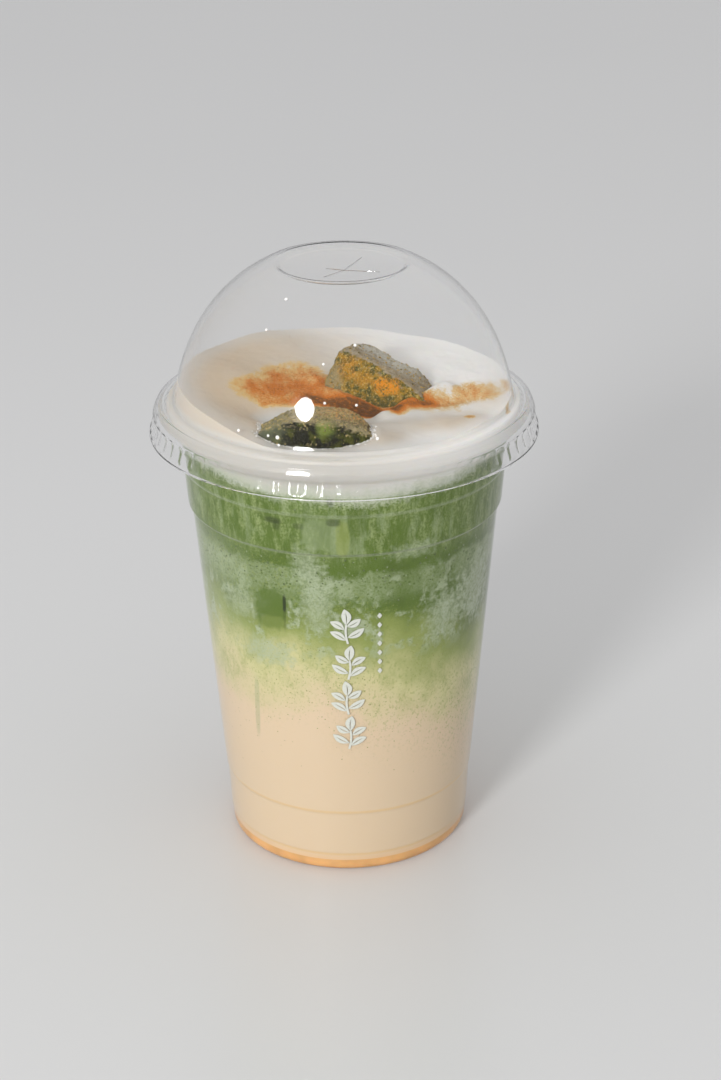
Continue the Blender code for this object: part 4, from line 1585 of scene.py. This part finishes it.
class LATTE_OT_print(bpy.types.Operator):
    """Print a column of white leaf sprays on the front of the cup."""

    bl_idname = "latte.print"
    bl_label = "Printed leaves"

    def leaf(self, shape, foot, turn, length, width):
        """A flat leaf with a thin body, pointed at both ends and split by a narrow vein."""
        steps = 12
        along = Vector((math.cos(turn), 0.0, math.sin(turn)))
        across = Vector((-math.sin(turn), 0.0, math.cos(turn)))
        for side in (1.0, -1.0):
            rows = []
            for step in range(steps + 1):
                share = step / steps
                vein = 0.22 * math.sin(math.pi * min(1.0, share * 1.25)) if share < 0.8 else 0.0
                reach = max(vein + 0.02, 0.5 * width * math.sin(math.pi * share) ** 0.8)
                spine = Vector((foot[0], 0.0, foot[1])) + along * length * share
                spine += across * 0.06 * length * math.sin(math.pi * share)
                rows.append((spine + across * side * vein * 0.5, spine + across * side * reach))
            self.plate(shape, rows)

    def plate(self, shape, rows):
        """A thin closed plate through pairs of points, its back on the cup."""
        thick = Vector((0.0, -PRINT_THICKNESS, 0.0))
        tube(shape, [(first, second, second + thick, first + thick) for first, second in rows])

    def stem(self, shape, points, width):
        """A thin stem along points in the flat."""
        rows = []
        for index, point in enumerate(points):
            before = Vector(points[max(index - 1, 0)])
            after = Vector(points[min(index + 1, len(points) - 1)])
            run = (after - before).normalized()
            side = Vector((-run.y, 0.0, run.x)) * width * 0.5
            spot = Vector((point[0], 0.0, point[1]))
            rows.append((spot - side, spot + side))
        self.plate(shape, rows)

    def spray(self):
        """One spray: a curved stem with a bud leaf and two pairs of side leaves, in the flat."""
        shape = bmesh.new()
        curve = [(0.55 * math.sin(0.35 * step), -4.7 + 0.8 * step) for step in range(8)]
        self.stem(shape, curve, 0.55)
        self.leaf(shape, curve[7], math.radians(84.0), 4.5, 2.5)
        for step, side, length in ((1, 1.0, 4.7), (2, -1.0, 4.9), (5, 1.0, 4.2), (6, -1.0, 4.0)):
            turn = math.radians(90.0 - side * 58.0)
            foot = (curve[step][0] + 0.4 * math.cos(turn), curve[step][1] + 0.4 * math.sin(turn))
            self.leaf(shape, foot, turn, length, 2.0)
        return mesh_from("leaf_spray", shape, outward=True)

    def diamond(self):
        """A small diamond for the narrow column beside the sprays."""
        shape = bmesh.new()
        steps = 6
        rows = []
        for step in range(steps + 1):
            height = DOT_HALF_HEIGHT * (2.0 * step / steps - 1.0)
            half = max(0.02, DOT_HALF_WIDTH * (1.0 - abs(height) / DOT_HALF_HEIGHT) ** 0.8)
            rows.append((Vector((-half, 0.0, height)), Vector((half, 0.0, height))))
        self.plate(shape, rows)
        return mesh_from("leaf_dot", shape, outward=True)

    def column_tree(self):
        """Repeat a flat motif up a line, turning every other one, and wrap it round the cup."""
        tree, given, result = geometry_tree(
            "printed_column", ("Count",), ("Pitch", "Across", "Low", "Foot Radius", "Slope"))
        line = add_node(tree, "GeometryNodeMeshLine", {
            "Count": given["Count"], "Start Location": join(tree, given["Across"], 0.0, given["Low"]),
            "Offset": join(tree, 0.0, 0.0, given["Pitch"])})
        odd = calculate(tree, "MODULO", add_node(tree, "GeometryNodeInputIndex").outputs[0], 2.0)
        copies = add_node(tree, "GeometryNodeInstanceOnPoints", {
            "Points": line.outputs[0], "Instance": given["Geometry"],
            "Scale": join(tree, added(tree, odd, -2.0, 1.0), 1.0, 1.0)})
        real = add_node(tree, "GeometryNodeRealizeInstances", {0: copies.outputs[0]})
        x, y, z = split(tree, add_node(tree, "GeometryNodeInputPosition").outputs[0])
        radius = added(tree, z, given["Slope"], given["Foot Radius"])
        turn = calculate(tree, "DIVIDE", x, radius)
        reach = calculate(tree, "SUBTRACT", radius, y)
        around = join(
            tree, product(tree, reach, calculate(tree, "SINE", turn)),
            product(tree, reach, product(tree, calculate(tree, "COSINE", turn), -1.0)), z)
        wrapped = add_node(
            tree, "GeometryNodeSetPosition", {"Geometry": real.outputs[0], "Position": around})
        return close_tree(tree, wrapped.outputs[0], given, result)

    def execute(self, context):
        cup = context.scene.latte_cup
        ink = ink_material(cup.ink)
        tree = self.column_tree()
        run = STACK_RING_HEIGHT - LOWER_STEP_HEIGHT - 2.0 * STEP_EASE
        slope = (STACK_RING_RADIUS - LOWER_STEP_RADIUS) / run
        foot = LOWER_STEP_RADIUS - slope * (LOWER_STEP_HEIGHT + STEP_EASE)

        # For each column: motif, count, pitch, place across the front and lowest height
        columns = (
            ("print_sprays", self.spray(), cup.leaf_sprays, 10.6, 0.2, 44.0),
            ("print_dots", self.diamond(), 7, 2.7, 8.3, 62.6),
        )
        for name, mesh, count, pitch, across, low in columns:
            piece = add_piece(name, mesh, ink)
            printed = use_tree(piece, tree, {
                "Count": count, "Pitch": pitch * MM, "Across": across * MM, "Low": low * MM,
                "Foot Radius": foot * MM, "Slope": slope, "Material": ink})
            edit_mesh(printed, lambda shape: bmesh.ops.recalc_face_normals(
                shape, faces=shape.faces))
            finish_piece(piece, "print")
        return {"FINISHED"}


class LATTE_PT_panel(bpy.types.Panel):
    """Buttons for each part of the latte."""

    bl_idname = "LATTE_PT_panel"
    bl_label = "Matcha latte"
    bl_space_type = "VIEW_3D"
    bl_region_type = "UI"
    bl_category = "Latte"

    def draw(self, context):
        for operator in OPERATORS:
            self.layout.operator(operator.bl_idname)
        for name in SETTINGS:
            settings = getattr(context.scene, name)
            box = self.layout.box()
            for label in settings.bl_rna.properties.keys():
                if label not in ("rna_type", "name"):
                    box.prop(settings, label)


SETTINGS = {
    "latte_stage": StageSettings,
    "latte_cup": CupSettings,
    "latte_lid": LidSettings,
    "latte_drink": DrinkSettings,
    "latte_topping": ToppingSettings,
}
OPERATORS = (
    LATTE_OT_stage,
    LATTE_OT_cup,
    LATTE_OT_lid,
    LATTE_OT_slit,
    LATTE_OT_droplets,
    LATTE_OT_drink,
    LATTE_OT_mochi,
    LATTE_OT_foam,
    LATTE_OT_powder,
    LATTE_OT_bubbles,
    LATTE_OT_print,
)


def register():
    """Register the settings, the operators and the panel."""
    for name, group in SETTINGS.items():
        bpy.utils.register_class(group)
        setattr(bpy.types.Scene, name, bpy.props.PointerProperty(type=group))
    for operator in OPERATORS:
        bpy.utils.register_class(operator)
    bpy.utils.register_class(LATTE_PT_panel)


def unregister():
    """Take the panel, the operators and the settings away again."""
    bpy.utils.unregister_class(LATTE_PT_panel)
    for operator in reversed(OPERATORS):
        bpy.utils.unregister_class(operator)
    for name, group in SETTINGS.items():
        delattr(bpy.types.Scene, name)
        bpy.utils.unregister_class(group)


def main():
    """Build every piece in order."""
    register()
    build_relief_group()
    build_patch_group()
    for operator in OPERATORS:
        name = operator.bl_idname.split(".")[1]
        getattr(bpy.ops.latte, name)()


if __name__ == "__main__":
    main()
